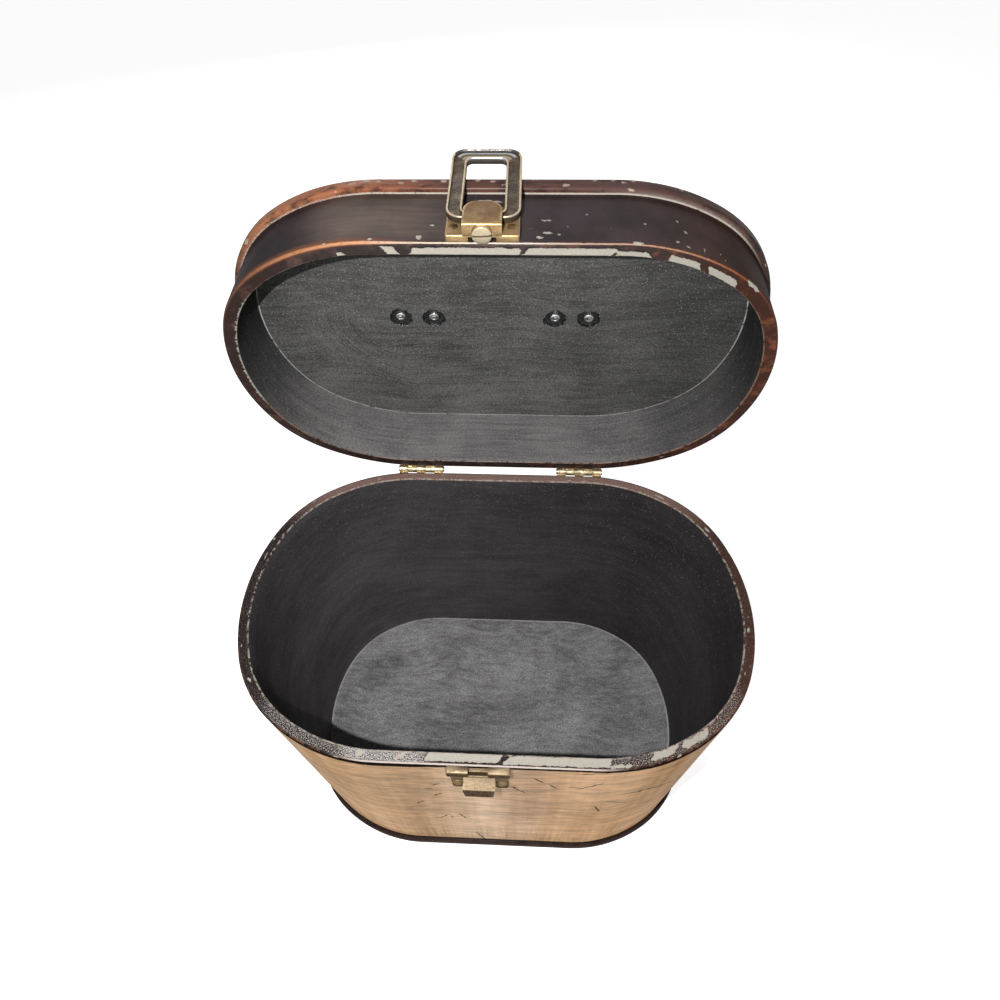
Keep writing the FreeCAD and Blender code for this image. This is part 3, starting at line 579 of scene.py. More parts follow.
lidPaint = {
    "gloss": 0.27,
    "coat": 0.45,
    "coatAlong": (45, 100, 1.0, 0.25),
    # Old lacquer on the wall, redder at the right and paler there with a painted reflection; a soft pale patch at
    # the front left beside the latch is a painted highlight standing in for a reflection
    "wall": (0.021, 0.0135, 0.0150),
    "wallRightAndSheen": (0.040, 0.018, 0.014),
    "rightTintAndSheen": (35, 100),
    "cloud": (0.05, 4),
    "clouded": (0.3, 0.7, 0.8, 1.9),
    "glow": (0.155, 0.108, 0.084),
    "glowShare": 0.8,
    "glowAcross": (-58, -32, 26),
    "glowUp": (8, 24, 12),
    "highlightStreak": ((0.05, 0.05, 0.5), 5),
    "highlightStreaked": (0.25, 0.7, 0.35, 1.0),
    # The rim, with tones by the share across the width and streaks of other tones
    "rimFrom": (0.2, 0.6),
    "rim": [(0.0, (0.034, 0.019, 0.016)), (0.35, (0.022, 0.015, 0.0145)), (0.7, (0.026, 0.016, 0.015)),
            (0.9, (0.050, 0.021, 0.014)), (1.0, (0.058, 0.024, 0.015))],
    "streak": ((0.14, 0.14, 1.5), 6, 0.65),
    "streaked": (0.48, 0.70),
    "streaks": [(0.0, (0.10, 0.050, 0.036)), (0.4, (0.070, 0.048, 0.043)), (0.75, (0.15, 0.055, 0.032)),
                (1.0, (0.24, 0.085, 0.042))],
    # The outer arris, rubbed through to the ground colours and widest at the front left; its palest tones are partly
    # a painted highlight where the lamp glints on the rounded arris
    "fray": (0.5, 5, 0.65),
    "wornAndGlint": [(0.0, (0.09, 0.045, 0.033)), (0.1, (0.19, 0.085, 0.050)), (0.2, (0.42, 0.19, 0.090)),
             (0.3, (0.56, 0.28, 0.15)), (0.37, (0.60, 0.48, 0.37)), (0.55, (0.62, 0.54, 0.45)),
             (0.62, (0.50, 0.34, 0.26)), (0.78, (0.42, 0.22, 0.13)), (0.86, (0.33, 0.12, 0.055)),
             (0.93, (0.16, 0.06, 0.032)), (1.0, (0.09, 0.036, 0.024))],
    "wornBehind": (0.13, 0.055, 0.032),
    "wornWidth": 0.42,
    "wornWide": 0.55,
    "wornWidest": (-92, -52, 22),
    "wornFray": 0.9,
    "wornCore": 0.35,
    "wornGaps": (0.3, 0.55),
    "wornAtFront": 0.55,
    "halo": [(0.0, (0.060, 0.032, 0.025)), (0.2, (0.19, 0.070, 0.030)), (0.33, (0.15, 0.060, 0.034)),
             (0.42, (0.045, 0.030, 0.026)), (0.7, (0.050, 0.030, 0.025)), (0.9, (0.12, 0.040, 0.022)),
             (1.0, (0.09, 0.032, 0.020))],
    "haloReach": (4.2, 0.8),
    "haloInward": (-0.1, 0.4, 1.0, 2.4),
    "haloFray": 2.2,
    "haloAcross": (0.0, 0.12, 0.5, 0.85),
    # The inner arris, chipped pale, most of all at the left
    "lip": (0.36, 0.25, 0.19),
    "lipShare": 0.55,
    "lipAt": (5.35, 6.3, 0.3),
    "lipGaps": (0.40, 0.50),
    "thickFrom": (-98, -108),
    "thickAlong": (-46, 14, 8),
    "thickAt": (5.2, 6.9, 0.2),
    "thickFray": 4.5,
    "dots": (0.35, 0.13, 0.34),
    "dotShare": 0.6,
    "orange": (0.7, 3),
    "orangePeel": 0.12,
    "bump": (0.6, 0.0004),
}


def lidPaintFinish(info):
    finish = glossy("lidPaint", info["gloss"])
    bench = finish.bench()
    x, y, z = (finish.axis(bench, index) for index in range(3))
    edge, bare = finish.note("edge"), finish.note("bare")
    across, front = shareAcross(x), frontHalf(finish, y)
    cloud = finish.noise(bench, *info["cloud"])
    # Painted highlight: a soft, streaked pale patch on the wall's front left stands in for a reflection
    glow = window(finish, x, *info["glowAcross"]) * window(finish, z, *info["glowUp"]) * front
    glow = glow * finish.ramp(finish.streaks(bench, *info["highlightStreak"]) * 0.5 + cloud * 0.5, *info["highlightStreaked"])
    # Redder toward the right, where the paler tone is partly a painted reflection
    wall = finish.mix(finish.ramp(x, *info["rightTintAndSheen"]) * front, info["wall"], info["wallRightAndSheen"])
    wall = finish.scale(wall, finish.ramp(cloud, *info["clouded"]))
    wall = finish.mix(glow * info["glowShare"], wall, info["glow"])
    streaked = finish.ramp(finish.streaks(bench, *info["streak"]), *info["streaked"])
    rim = finish.mix(streaked, finish.tones(across, info["rim"]), finish.tones(across, info["streaks"]))
    colour = finish.mix(finish.ramp(edge, *info["rimFrom"]), wall, rim)
    fray = finish.noise(bench, *info["fray"])
    wide = window(finish, x, *info["wornWidest"]) * info["wornWide"] + info["wornWidth"]
    away = edge.math("ABSOLUTE")
    reach = away * finish.ramp(edge, *info["haloInward"])
    far, near = info["haloReach"]
    halo = finish.ramp(reach + (fray - 0.5) * info["haloFray"], wide * far, wide * near)
    behind = finish.scale(info["wornBehind"], 0.5)
    colour = finish.mix(halo * finish.ramp(across, *info["haloAcross"]), colour,
                        finish.mix(front, behind, finish.tones(across, info["halo"])))
    rubbed = finish.ramp(away + (fray - 0.5) * info["wornFray"], wide, wide * info["wornCore"])
    atFront = info["wornAtFront"]
    rubbed = rubbed * (finish.ramp(fray, *info["wornGaps"]) * (1 - front * atFront) + front * atFront)
    # The rubbed arris: worn paint, with pale tones that are partly a painted highlight of a glint
    colour = finish.mix(rubbed, colour, finish.mix(front, info["wornBehind"], finish.tones(across, info["wornAndGlint"])))
    lip = window(finish, edge, *info["lipAt"]) * finish.ramp(fray, *info["lipGaps"])
    colour = finish.mix(lip * info["lipShare"], colour, info["lip"])
    left = finish.ramp(x, *info["thickFrom"]) * window(finish, y, *info["thickAlong"])
    thick = window(finish, edge + (fray - 0.5) * info["thickFray"], *info["thickAt"]) * left
    mask, ground = barePaint(finish, bench, bare)
    pale = mask.math("MAXIMUM", thick).math("MAXIMUM", specks(finish, bench, *info["dots"]) * info["dotShare"])
    finish.set(Base_Color=finish.mix(pale, colour, ground))
    gloss = finish.ramp(pale.math("MAXIMUM", rubbed * 0.5), 0, 1, info["coat"], 0)
    finish.set(Coat_Weight=gloss * finish.ramp(x.math("ABSOLUTE"), *info["coatAlong"]))
    height = pale * -0.5 + finish.noise(bench, *info["orange"]) * info["orangePeel"]
    finish.set(Normal=finish.bump(height, *info["bump"]))
    return finish.material


lidTopPaint = {
    "cloud": (0.03, 4),
    "clouded": (0.3, 0.7, 0.9, 2.2),
    "scuff": ((0.06, 0.6, 1), 5, 0.6),
    "scuffed": (0.58, 0.75),
    "scuffShare": 0.5,
    "scuffColour": (0.13, 0.05, 0.03),
    "dots": (0.16, 0.16, 0.4),
    "dotShare": 0.7,
    "bump": (0.5, 0.0004),
}


def lidTopFinish(info, lacquer):
    # The wall's lacquer on the lid's top, scuffed along the grain
    finish = glossy("lidTopPaint", lacquer["gloss"])
    bench = finish.bench()
    scuff = finish.streaks(bench, *info["scuff"])
    colour = finish.scale(lacquer["wall"], finish.ramp(finish.noise(bench, *info["cloud"]), *info["clouded"]))
    scuffed = finish.ramp(scuff, *info["scuffed"]) * info["scuffShare"]
    colour = finish.mix(scuffed, colour, info["scuffColour"])
    dots = specks(finish, bench, *info["dots"]) * info["dotShare"]
    finish.set(Base_Color=finish.mix(dots, colour, gesso["colour"]))
    finish.set(Coat_Weight=finish.ramp(dots, 0, 1, lacquer["coat"], 0))
    finish.set(Normal=finish.bump(scuff * 0.2 - dots * 0.5, *info["bump"]))
    return finish.material


# Painted light and shade on the linings: grades darken or lighten a lining along an axis where the lamps light it
# more or less (axis, from, to, and the values there), and a shade darkens a corner as a painted shadow (x from and
# to, y from and to, and its depth)
liningPaint = {
    "lidWall": {"dark": (0.055, 0.053, 0.054), "pale": (0.125, 0.121, 0.119), "stroke": (0.05, 0.05, 1.3),
                "bend": (0, 0, 3), "specks": 0.46, "roughness": 0.5, "grit": 0.4,
                "paintedLightGrades": [(1, -15, 62, 0.58, 1.85), (0, 40, 115, 1.0, 0.60), (0, -115, -60, 0.80, 1.0)],
                "shade": (-30, -70, -5, -35, 0.25)},
    "lidPanel": {"dark": (0.045, 0.044, 0.043), "pale": (0.126, 0.124, 0.121), "stroke": (0.05, 0.75, 0.5),
                 "bend": (0, 9, 0), "specks": 0.58, "roughness": 0.5, "grit": 0.5,
                 "paintedLightGrades": [(1, -55, 60, 0.92, 1.45), (0, 30, 110, 1.0, 0.68)],
                 "swirl": (-46, -6, 28, 47)},
    "tubWall": {"dark": (0.047, 0.041, 0.045), "pale": (0.085, 0.079, 0.083), "stroke": (0.05, 0.05, 0.35),
                "bend": (0, 0, 6), "specks": 0.50, "roughness": 0.42, "grit": 0.32,
                "paintedLightGrades": [(2, 85, 185, 1.5, 0.95), (0, -60, 105, 1.2, 0.62)], "shade": (-20, -60, -25, -50, 0.35)},
    "tubFloor": {"dark": (0.112, 0.108, 0.109), "pale": (0.37, 0.364, 0.366), "stroke": (0.10, 0.36, 0.5),
                 "bend": (0, 14, 0), "specks": 0.46, "roughness": 0.6, "grit": 0.5,
                 "paintedLightGrades": [(1, -55, 60, 0.95, 1.2), (0, 30, 100, 1.0, 0.92)]},
}
brushWork = {
    "coat": 0.25,
    "drift": (0.014, 1, 0.5),
    "strokes": (8, 0.68),
    "broad": 0.3,
    "patch": (0.03, 3),
    "shares": (0.45, 0.2, 0.35),
    "contrast": (0.32, 0.68),
    "grit": (1.1, 4, 0.85),
    "gritty": (0.32, 0.70),
    "gritPale": 1.3,
    "sparkle": (2.4, 2, 0.8),
    "sparkling": (0.66, 0.78),
    "sparkleColour": (0.36, 0.355, 0.35),
    "dots": (0.75, 0.22),
    "dotShare": 0.6,
    "dotColour": (0.48, 0.47, 0.455),
    "line": (0.46, 0.455, 0.44),
    "lineFray": (0.9, 3),
    "lineBreaks": (0.25, 3),
    "lineGaps": (0.28, 0.5),
    "roughnessRange": (-0.08, 0.12),
    "bump": (0.4, 0.0003),
}
swirlMarks = {
    "pitch": 0.75,
    "along": 0.03,
    "strokes": (1.0, 7, 0.68),
    "gain": 1.4,
    "soft": 8,
    "leftFrom": (4, -18),
    "upFrom": (-14, 8),
}


def swirled(finish, bent, strokes, info):
    # Brush marks that follow the curve of the left end
    centreX, centreY, near, far = info
    offset = finish.stretch(bent, (1, 1, 0), (-centreX, -centreY, 0))
    away = finish.make("ShaderNodeVectorMath", {"operation": "LENGTH"}, {0: offset}, output=1)
    along = finish.axis(offset, 1)
    curve = finish.make("ShaderNodeCombineXYZ", {}, {0: away * swirlMarks["pitch"], 1: along * swirlMarks["along"]})
    arcs = window(finish, away, near, far, swirlMarks["soft"])
    arcs = arcs * finish.ramp(finish.axis(offset, 0), *swirlMarks["leftFrom"])
    arcs = arcs * finish.ramp(along, *swirlMarks["upFrom"])
    gain = swirlMarks["gain"]
    curved = finish.noise(curve, *swirlMarks["strokes"]) * gain - (gain - 1) / 2
    return strokes * (1 - arcs) + curved * arcs


def liningFinish(name, info, edgeLine=None):
    # Brushed black paint with fine pale specks, and a pale line where a board meets the wall
    finish = glossy(name, info["roughness"])
    finish.set(Coat_Weight=brushWork["coat"])
    bench = finish.bench()
    drift = finish.vector("SUBTRACT", finish.noise(bench, *brushWork["drift"], output=1), (0.5, 0.5, 0.5))
    bent = finish.vector("ADD", bench, finish.stretch(drift, tuple(2 * value for value in info["bend"])))
    strokes = finish.streaks(bent, info["stroke"], *brushWork["strokes"])
    if "swirl" in info:
        strokes = swirled(finish, bent, strokes, info["swirl"])
    broad = finish.streaks(bent, tuple(value * brushWork["broad"] for value in info["stroke"]), 3)
    patch = finish.noise(bench, *brushWork["patch"])
    fine, wide, clouds = brushWork["shares"]
    tone = finish.ramp(strokes * fine + broad * wide + patch * clouds, *brushWork["contrast"])
    colour = finish.mix(tone, info["dark"], info["pale"])
    # Painted light and shade: each grade lightens or darkens the paint along an axis
    for axis, low, high, start, end in info["paintedLightGrades"]:
        colour = finish.scale(colour, finish.ramp(finish.axis(bench, axis), low, high, start, end))
    # Painted shadow: the shade darkens the corner where the rim casts its shadow
    if "shade" in info:
        nearX, farX, nearY, farY, depth = info["shade"]
        corner = finish.ramp(finish.axis(bench, 0), nearX, farX) * finish.ramp(finish.axis(bench, 1), nearY, farY)
        colour = finish.scale(colour, finish.ramp(corner, 0, 1, 1, depth))
    grit, amount = finish.noise(bench, *brushWork["grit"]), info["grit"]
    colour = finish.scale(colour, finish.ramp(grit, *brushWork["gritty"], 1 - amount,
                                              1 + amount * brushWork["gritPale"]))
    sparkle = finish.ramp(finish.noise(bench, *brushWork["sparkle"]), *brushWork["sparkling"]) * amount
    colour = finish.mix(sparkle, colour, brushWork["sparkleColour"])
    dots = specks(finish, bench, *brushWork["dots"], info["specks"])
    colour = finish.mix(dots * brushWork["dotShare"], colour, brushWork["dotColour"])
    if edgeLine:
        ragged = (finish.noise(bench, *brushWork["lineFray"]) - 0.5) * 0.6
        line = window(finish, finish.note("inset") + ragged, *edgeLine)
        line = line * finish.ramp(finish.noise(bench, *brushWork["lineBreaks"]), *brushWork["lineGaps"])
        colour = finish.mix(line, colour, brushWork["line"])
    smooth, rough = (info["roughness"] + change for change in brushWork["roughnessRange"])
    finish.set(Base_Color=colour, Roughness=finish.ramp(tone, 0, 1, smooth, rough))
    finish.set(Normal=finish.bump(strokes * 0.8 + grit * amount * 1.6 + dots * 0.5, *brushWork["bump"]))
    return finish.material


veneer = {
    "roughness": 0.42,
    # Tones from the left end to the right; the pale band just left of the middle is partly a painted highlight
    "tones": [(0.0, (0.63, 0.385, 0.190)), (0.25, (0.66, 0.405, 0.215)), (0.33, (0.55, 0.345, 0.195)),
              (0.40, (0.64, 0.42, 0.255)), (0.47, (0.78, 0.56, 0.375)), (0.52, (0.71, 0.485, 0.315)),
              (0.58, (0.62, 0.405, 0.255)), (0.65, (0.70, 0.435, 0.240)), (0.8, (0.65, 0.380, 0.185)),
              (1.0, (0.61, 0.34, 0.15))],
    "dark": (0.24, 0.135, 0.070),
    "pale": (0.80, 0.64, 0.47),
    # Level grain with a faint wave: long broad figure, dark dashes and fine fibres
    "waves": [((0.02, 0.02, 0.01), 14), ((0.07, 0.07, 0.03), 4)],
    "figure": ((0.010, 0.010, 0.09), 5, 0.6),
    "dashes": ((0.05, 0.05, 0.28), 5, 0.60),
    "fibres": ((0.11, 0.11, 0.46), 4, 0.60),
    "shares": (0.30, 0.35, 0.35),
    "contrast": (0.36, 0.64, 0.68, 1.32),
    "darkGrain": (0.58, 0.72),
    "darkShare": 0.5,
    "paleGrain": (0.43, 0.32),
    "paleShare": 0.55,
    # Soft upright bands across the grain, and fine ticks low down; the pale ticks are partly a painted reflection of
    # the floor, stronger toward the bottom
    "bands": ((0.075, 0.075, 0.004), 4, 0.6),
    "banded": (0.35, 0.65),
    "bandTones": (1.06, 0.88),
    "ticks": ((0.75, 0.75, 0.02), 3),
    "tickFrom": (75, 15),
    "darkTicks": (0.52, 0.66),
    "darkTickShare": 0.3,
    "paleTicksAndSheen": (0.46, 0.34),
    "paleTickSheenShare": 0.35,
    "crack": (0.060, 0.032, 0.018),
    "crackHalf": 0.75,
    "crackCore": 0.3,
    "crackGaps": (0.3, 0.5, 0.5, 1.0),
    # The painted band below the rim, and the rim itself
    "bandLine": (0.014, 0.0075, 0.006),
    "bandDepth": 5.2,
    "bandRise": 2.4,
    "bandRiseAt": (-12, 55, 25),
    "bandFray": 1.4,
    "bandSoft": 0.3,
    "fray": (0.6, 4, 0.6),
    "rim": (0.022, 0.016, 0.0155),
    "rimRight": (0.060, 0.030, 0.022),
    "rimRightFrom": (0.6, 0.95),
    "rimFrom": (-0.6, 0.2),
    "onTop": (0.3, 0.8),
    "rimBack": (0.34, 0.215, 0.18),
    "backFrom": (35, 68),
    "backSpeckle": (0.44, 0.56, 0.25, 1.0),
    "speckle": (2.0, 4, 0.9),
    "speck": (0.56, 0.53, 0.49),
    "speckled": (0.60, 0.65),
    "speckledFrom": (-10, -40),
    "speckledAt": [(-96, -30, 12, 0.07), (-58, -30, 8, 0.05), (54, 108, 6, 0.06)],
    "lip": (0.46, 0.40, 0.34),
    "lipShare": 0.7,
    "lipAt": (4.3, 5.6, 0.4),
    "lipGaps": (0.42, 0.58),
    "arris": (0.62, 0.54, 0.48),
    "arrisShare": 0.9,
    "arrisAt": (-0.25, 0.35, 0.18),
    "arrisAcross": (-52, 44, 18),
    "arrisFrom": (-40, -60),
    "arrisFray": 0.4,
    "rubbed": (0.17, 0.085, 0.05),
    "rubbedShare": 0.7,
    "rubbedAt": (-0.3, 0.5, 0.3),
    "rubbedGaps": (0.45, 0.6),
    "pinkish": (0.46, 0.27, 0.19),
    "pinkPatch": (0.3, 4),
    "pinkGaps": (0.55, 0.65),
    "pinkReach": (1.4, 0.3),
    "pinkShare": 0.7,
    "coatRoughness": 0.30,
    "coatBands": (0.18, 0.03),
    "coatRim": (0.012, 0.12),
    "bump": (0.5, 0.0003),
}


def veneerFinish(info):
    finish = glossy("tubVeneer", info["roughness"])
    finish.set(Coat_Roughness=info["coatRoughness"])
    bench = finish.bench()
    x, y, z = (finish.axis(bench, index) for index in range(3))
    edge, bare = finish.note("edge"), finish.note("bare")
    across = shareAcross(x)
    bends = [(finish.streaks(bench, lumps, 2) - 0.5) * height for lumps, height in info["waves"]]
    lifted = finish.make("ShaderNodeCombineXYZ", {}, {0: x, 1: y, 2: z + (bends[0] + bends[1])})
    figure, dashes, fibres = (finish.streaks(lifted, *info[name]) for name in ("figure", "dashes", "fibres"))
    broad, middle, fine = info["shares"]
    grain = finish.ramp(figure * broad + dashes * middle + fibres * fine, *info["contrast"])
    # Tone across the width, with a painted highlight in the pale band near the middle
    colour = finish.scale(finish.tones(across, info["tones"]), grain)
    lines = dashes * 0.5 + fibres * 0.5
    colour = finish.mix(finish.ramp(lines, *info["darkGrain"]) * info["darkShare"], colour, info["dark"])
    colour = finish.mix(finish.ramp(lines, *info["paleGrain"]) * info["paleShare"], colour, info["pale"])
    bands = finish.streaks(bench, *info["bands"])
    colour = finish.scale(colour, finish.ramp(bands, *info["banded"], *info["bandTones"]))
    ticks, low = finish.streaks(bench, *info["ticks"]), finish.ramp(z, *info["tickFrom"])
    colour = finish.mix(finish.ramp(ticks, *info["darkTicks"]) * low * info["darkTickShare"], colour, info["dark"])
    # Pale ticks low down, partly a painted reflection of the floor
    colour = finish.mix(finish.ramp(ticks, *info["paleTicksAndSheen"]) * low * info["paleTickSheenShare"], colour, info["pale"])
    half = info["crackHalf"]
    crack = finish.ramp(finish.note("acrossCrack").math("ABSOLUTE"), half, half * info["crackCore"])
    crack = crack * finish.note("nearCrack") * finish.ramp(dashes, *info["crackGaps"])
    colour = finish.mix(crack, colour, info["crack"])
    fray = finish.noise(bench, *info["fray"])
    depth = window(finish, x, *info["bandRiseAt"]) * info["bandRise"] - info["bandDepth"]
    painted = finish.ramp(edge + (fray - 0.5) * info["bandFray"], depth - info["bandSoft"], depth + info["bandSoft"])
    rim = finish.mix(finish.ramp(across, *info["rimRightFrom"]), info["rim"], info["rimRight"])
    rim = finish.mix(finish.ramp(edge, *info["rimFrom"]), info["bandLine"], rim)
    speckle, onTop = finish.noise(bench, *info["speckle"]), finish.ramp(edge, *info["onTop"])
    atBack = finish.ramp(y, *info["backFrom"]) * onTop
    rim = finish.mix(atBack * finish.ramp(speckle, *info["backSpeckle"]), rim, info["rimBack"])
    # Pale specks gather on two stretches of the front rim
    atFront = finish.ramp(y, *info["speckledFrom"])
    gathered = [window(finish, x, *limits) * atFront * more for *limits, more in info["speckledAt"]]
    amount = gathered[0] + gathered[1] + gathered[2]
    rim = finish.mix(finish.ramp(speckle + amount, *info["speckled"]) * onTop, rim, info["speck"])
    lip = window(finish, edge, *info["lipAt"]) * finish.ramp(fray, *info["lipGaps"])
    rim = finish.mix(lip * info["lipShare"], rim, info["lip"])
    arris = window(finish, edge + (fray - 0.5) * info["arrisFray"], *info["arrisAt"])
    arris = arris * window(finish, x, *info["arrisAcross"]) * finish.ramp(y, *info["arrisFrom"])
    rim = finish.mix(arris * info["arrisShare"], rim, info["arris"])
    rubbed = window(finish, edge, *info["rubbedAt"]) * finish.ramp(fray, *info["rubbedGaps"]) * (1 - arris)
    rim = finish.mix(rubbed * info["rubbedShare"], rim, info["rubbed"])
    mask, ground = barePaint(finish, bench, bare)
    pinkish = finish.ramp(finish.noise(bench, *info["pinkPatch"]), *info["pinkGaps"])
    pinkish = pinkish * finish.ramp(bare, *info["pinkReach"]) * info["pinkShare"]
    rim = finish.mix(mask, rim, finish.mix(pinkish, ground, info["pinkish"]))
    finish.set(Base_Color=finish.mix(painted, colour, rim))
    shine = finish.ramp(bands, *info["banded"], *info["coatBands"])
    finish.set(Coat_Weight=shine + (finish.ramp(onTop, 0, 1, *info["coatRim"]) - shine) * painted * (1 - mask))
    height = (dashes + fibres) * (1 - painted) * 0.4 - crack * 1.5 - mask * 0.5 + speckle * onTop * 0.4
    finish.set(Normal=finish.bump(height, *info["bump"]))
    return finish.material


mouldingPaint = {
    "top": {"tones": [(0.0, (0.11, 0.044, 0.026)), (0.10, (0.40, 0.160, 0.075)), (0.28, (0.36, 0.130, 0.065)),
                      (0.42, (0.12, 0.048, 0.036)), (0.7, (0.105, 0.056, 0.048)), (0.9, (0.085, 0.040, 0.030)),
                      (1.0, (0.055, 0.028, 0.024))],
            "behind": (0.060, 0.028, 0.020), "line": (0.60, 0.53, 0.46), "haze": (0.36, 0.29, 0.25),
            "chip": (0.52, 0.33, 0.26), "gloss": 0.3, "coat": 0.3},
    "base": {"tones": [(0.0, (0.052, 0.032, 0.027)), (1.0, (0.052, 0.032, 0.027))],
             "behind": (0.040, 0.024, 0.020), "line": (0.020, 0.012, 0.010), "haze": (0.052, 0.032, 0.027),
             "chip": (0.12, 0.06, 0.04), "gloss": 0.32, "coat": 0.10},
}
mouldingWork = {
    "mottle": ((0.10, 0.10, 0.35), 6, 0.68),
    "mottled": (0.48, 0.64),
    "mottleShare": 0.75,
    "mottleColour": (0.022, 0.012, 0.011),
    "darkTop": (7.5, 10.5, 1.0, 0.45),
    # A rubbed line where the moulding meets the wall, speckled at the left and clean beside the latch
    "fray": (0.6, 5, 0.65),
    "speckle": (1.6, 4, 0.85),
    "leftFrom": (-50, -70),
    "lineAt": (0.95, 0.5),
    "lineFray": 0.5,
    "lineEnd": (118, 96),
    "lineSpeckle": (0.47, 0.55),
    "lineGaps": (0.28, 0.45),
    "sprayAt": (3.5, 0.5),
    "sprayed": (0.66, 0.72),
    "sprayMore": 0.10,
    "sprayShare": 0.8,
    # Toward the right end a pale haze spreads up from the line
    "hazeAt": (2.7, 0.5),
    "hazeFray": 1.6,
    "hazeStart": (34, 66),
    "hazeEnd": (114, 92),
    "hazeShare": 0.7,
    "dots": (0.35, 0.14, 0.36),
    "dotShare": 0.6,
    "chipShare": 0.6,
    "bump": (0.5, 0.0003),
}


def mouldingFinish(name, info):
    work = mouldingWork
    finish = glossy(name, info["gloss"])
    bench = finish.bench()
    x, y = finish.axis(bench, 0), finish.axis(bench, 1)
    edge = finish.note("edge")
    across, front = shareAcross(x), frontHalf(finish, y)
    colour = finish.mix(front, info["behind"], finish.tones(across, info["tones"]))
    mottle = finish.streaks(bench, *work["mottle"])
    mottled = finish.ramp(mottle, *work["mottled"]) * work["mottleShare"]
    colour = finish.mix(mottled, colour, work["mottleColour"])
    colour = finish.scale(colour, finish.ramp(edge, *work["darkTop"]))
    fray, speckle = finish.noise(bench, *work["fray"]), finish.noise(bench, *work["speckle"])
    left = finish.ramp(x, *work["leftFrom"])
    line = finish.ramp(edge + (fray - 0.5) * work["lineFray"], *work["lineAt"]) * finish.ramp(x, *work["lineEnd"])
    line = line * (finish.ramp(speckle, *work["lineSpeckle"]) * left
                   + finish.ramp(fray, *work["lineGaps"]) * (1 - left))
    spray = speckle + finish.ramp(edge, *work["sprayAt"]) * work["sprayMore"]
    spray = finish.ramp(spray, *work["sprayed"]) * left
    line = line.math("MAXIMUM", spray * work["sprayShare"]) * front
    haze = finish.ramp(edge + (fray - 0.5) * work["hazeFray"], *work["hazeAt"])
    haze = haze * finish.ramp(x, *work["hazeStart"]) * finish.ramp(x, *work["hazeEnd"])
    colour = finish.mix(haze * front * work["hazeShare"], colour, info["haze"])
    colour = finish.mix(line, colour, info["line"])
    mask, ground = barePaint(finish, bench, finish.note("bare"))
    mask = mask.math("MAXIMUM", specks(finish, bench, *work["dots"]) * work["dotShare"])
    colour = finish.mix(mask, colour, finish.mix(work["chipShare"], ground, info["chip"]))
    finish.set(Base_Color=colour, Coat_Weight=finish.ramp(mask.math("MAXIMUM", line), 0, 1, info["coat"], 0.0))
    finish.set(Normal=finish.bump(mottle * 0.3 - mask * 0.5, *work["bump"]))
    return finish.material


# Places of the chips, in mm: x limits and distance from the outer arris for rims, centres and half sizes on walls
lidWear = {
    "rimPatches": [(-60.5, -57, 3.5, 6.4), (-43, -37.5, 1.6, 6.2), (-30, 11.5, 2.0, 6.4), (13, 46, 2.0, 6.5),
                   (46, 58.5, 3.2, 6.4), (66, 79, 2.4, 5.9), (81.7, 93.5, 2.3, 5.6), (98, 104, -0.6, 0.9)],
    "wallChips": [(-28, 3.2, 1.3, 1.5), (-23.6, 10.4, 1.2, 0.8), (17.3, 3.4, 1.3, 1.0), (20.2, 6.2, 2.6, 0.9),
                  (24.5, 5.2, 0.9, 0.6), (20, 13.6, 2.2, 0.6), (35, 17.5, 0.8, 0.6), (56.9, 12.8, 0.7, 0.7),
                  (68.9, 5.0, 0.9, 0.8), (72.8, 3.6, 0.9, 0.8), (72.9, 12.2, 0.9, 0.9), (70.2, 17.8, 0.6, 0.8),
                  (79.5, 5.0, 0.4, 1.7), (-5, 25.6, 3.6, 0.9), (0.5, 25.2, 3.2, 0.9), (53.5, 0.9, 2.4, 0.8),
                  (-46, 1.8, 1.2, 0.8), (86.5, 6.5, 0.5, 0.5), (88.5, 4.0, 0.5, 0.5)],
    "depth": 0.16,
    "scatter": 0.74,
}
tubWear = {
    "rimPatches": [(-57, -53.5, 1.6, 4.2), (-39.3, -35.8, 1.4, 4.8), (-28, 5, 1.2, 5.0), (6, 33, 0.9, 4.4),
                   (34, 52, 0.9, 5.2), (51, 60, 0.6, 2.0), (67.5, 79, 1.4, 4.4), (83, 94, 1.2, 4.2)],
    "wallChips": [],
    "depth": 0.14,
    "scatter": 0.60,
}
mouldingWear = {
    "rimPatches": [],
    "wallChips": [(-58, 33.8, 2.6, 0.7), (-52, 34.6, 3.0, 0.8), (-47, 34.2, 1.6, 0.7), (-38, 33.2, 1.5, 0.8),
                  (-33, 34.6, 1.7, 0.8), (-21, 34.4, 1.6, 1.1), (-7.5, 35.2, 1.4, 1.2), (-1.5, 34.4, 1.4, 0.9),
                  (2.5, 31.8, 0.9, 0.6), (15, 35.6, 1.6, 0.5), (27.5, 32.0, 1.9, 1.1), (39, 35.0, 1.6, 0.6),
                  (46, 35.2, 1.4, 0.6), (50, 34.0, 1.6, 0.7), (54, 35.0, 1.2, 0.6)],
    "depth": 0.12,
    "scatter": 0.64,
}
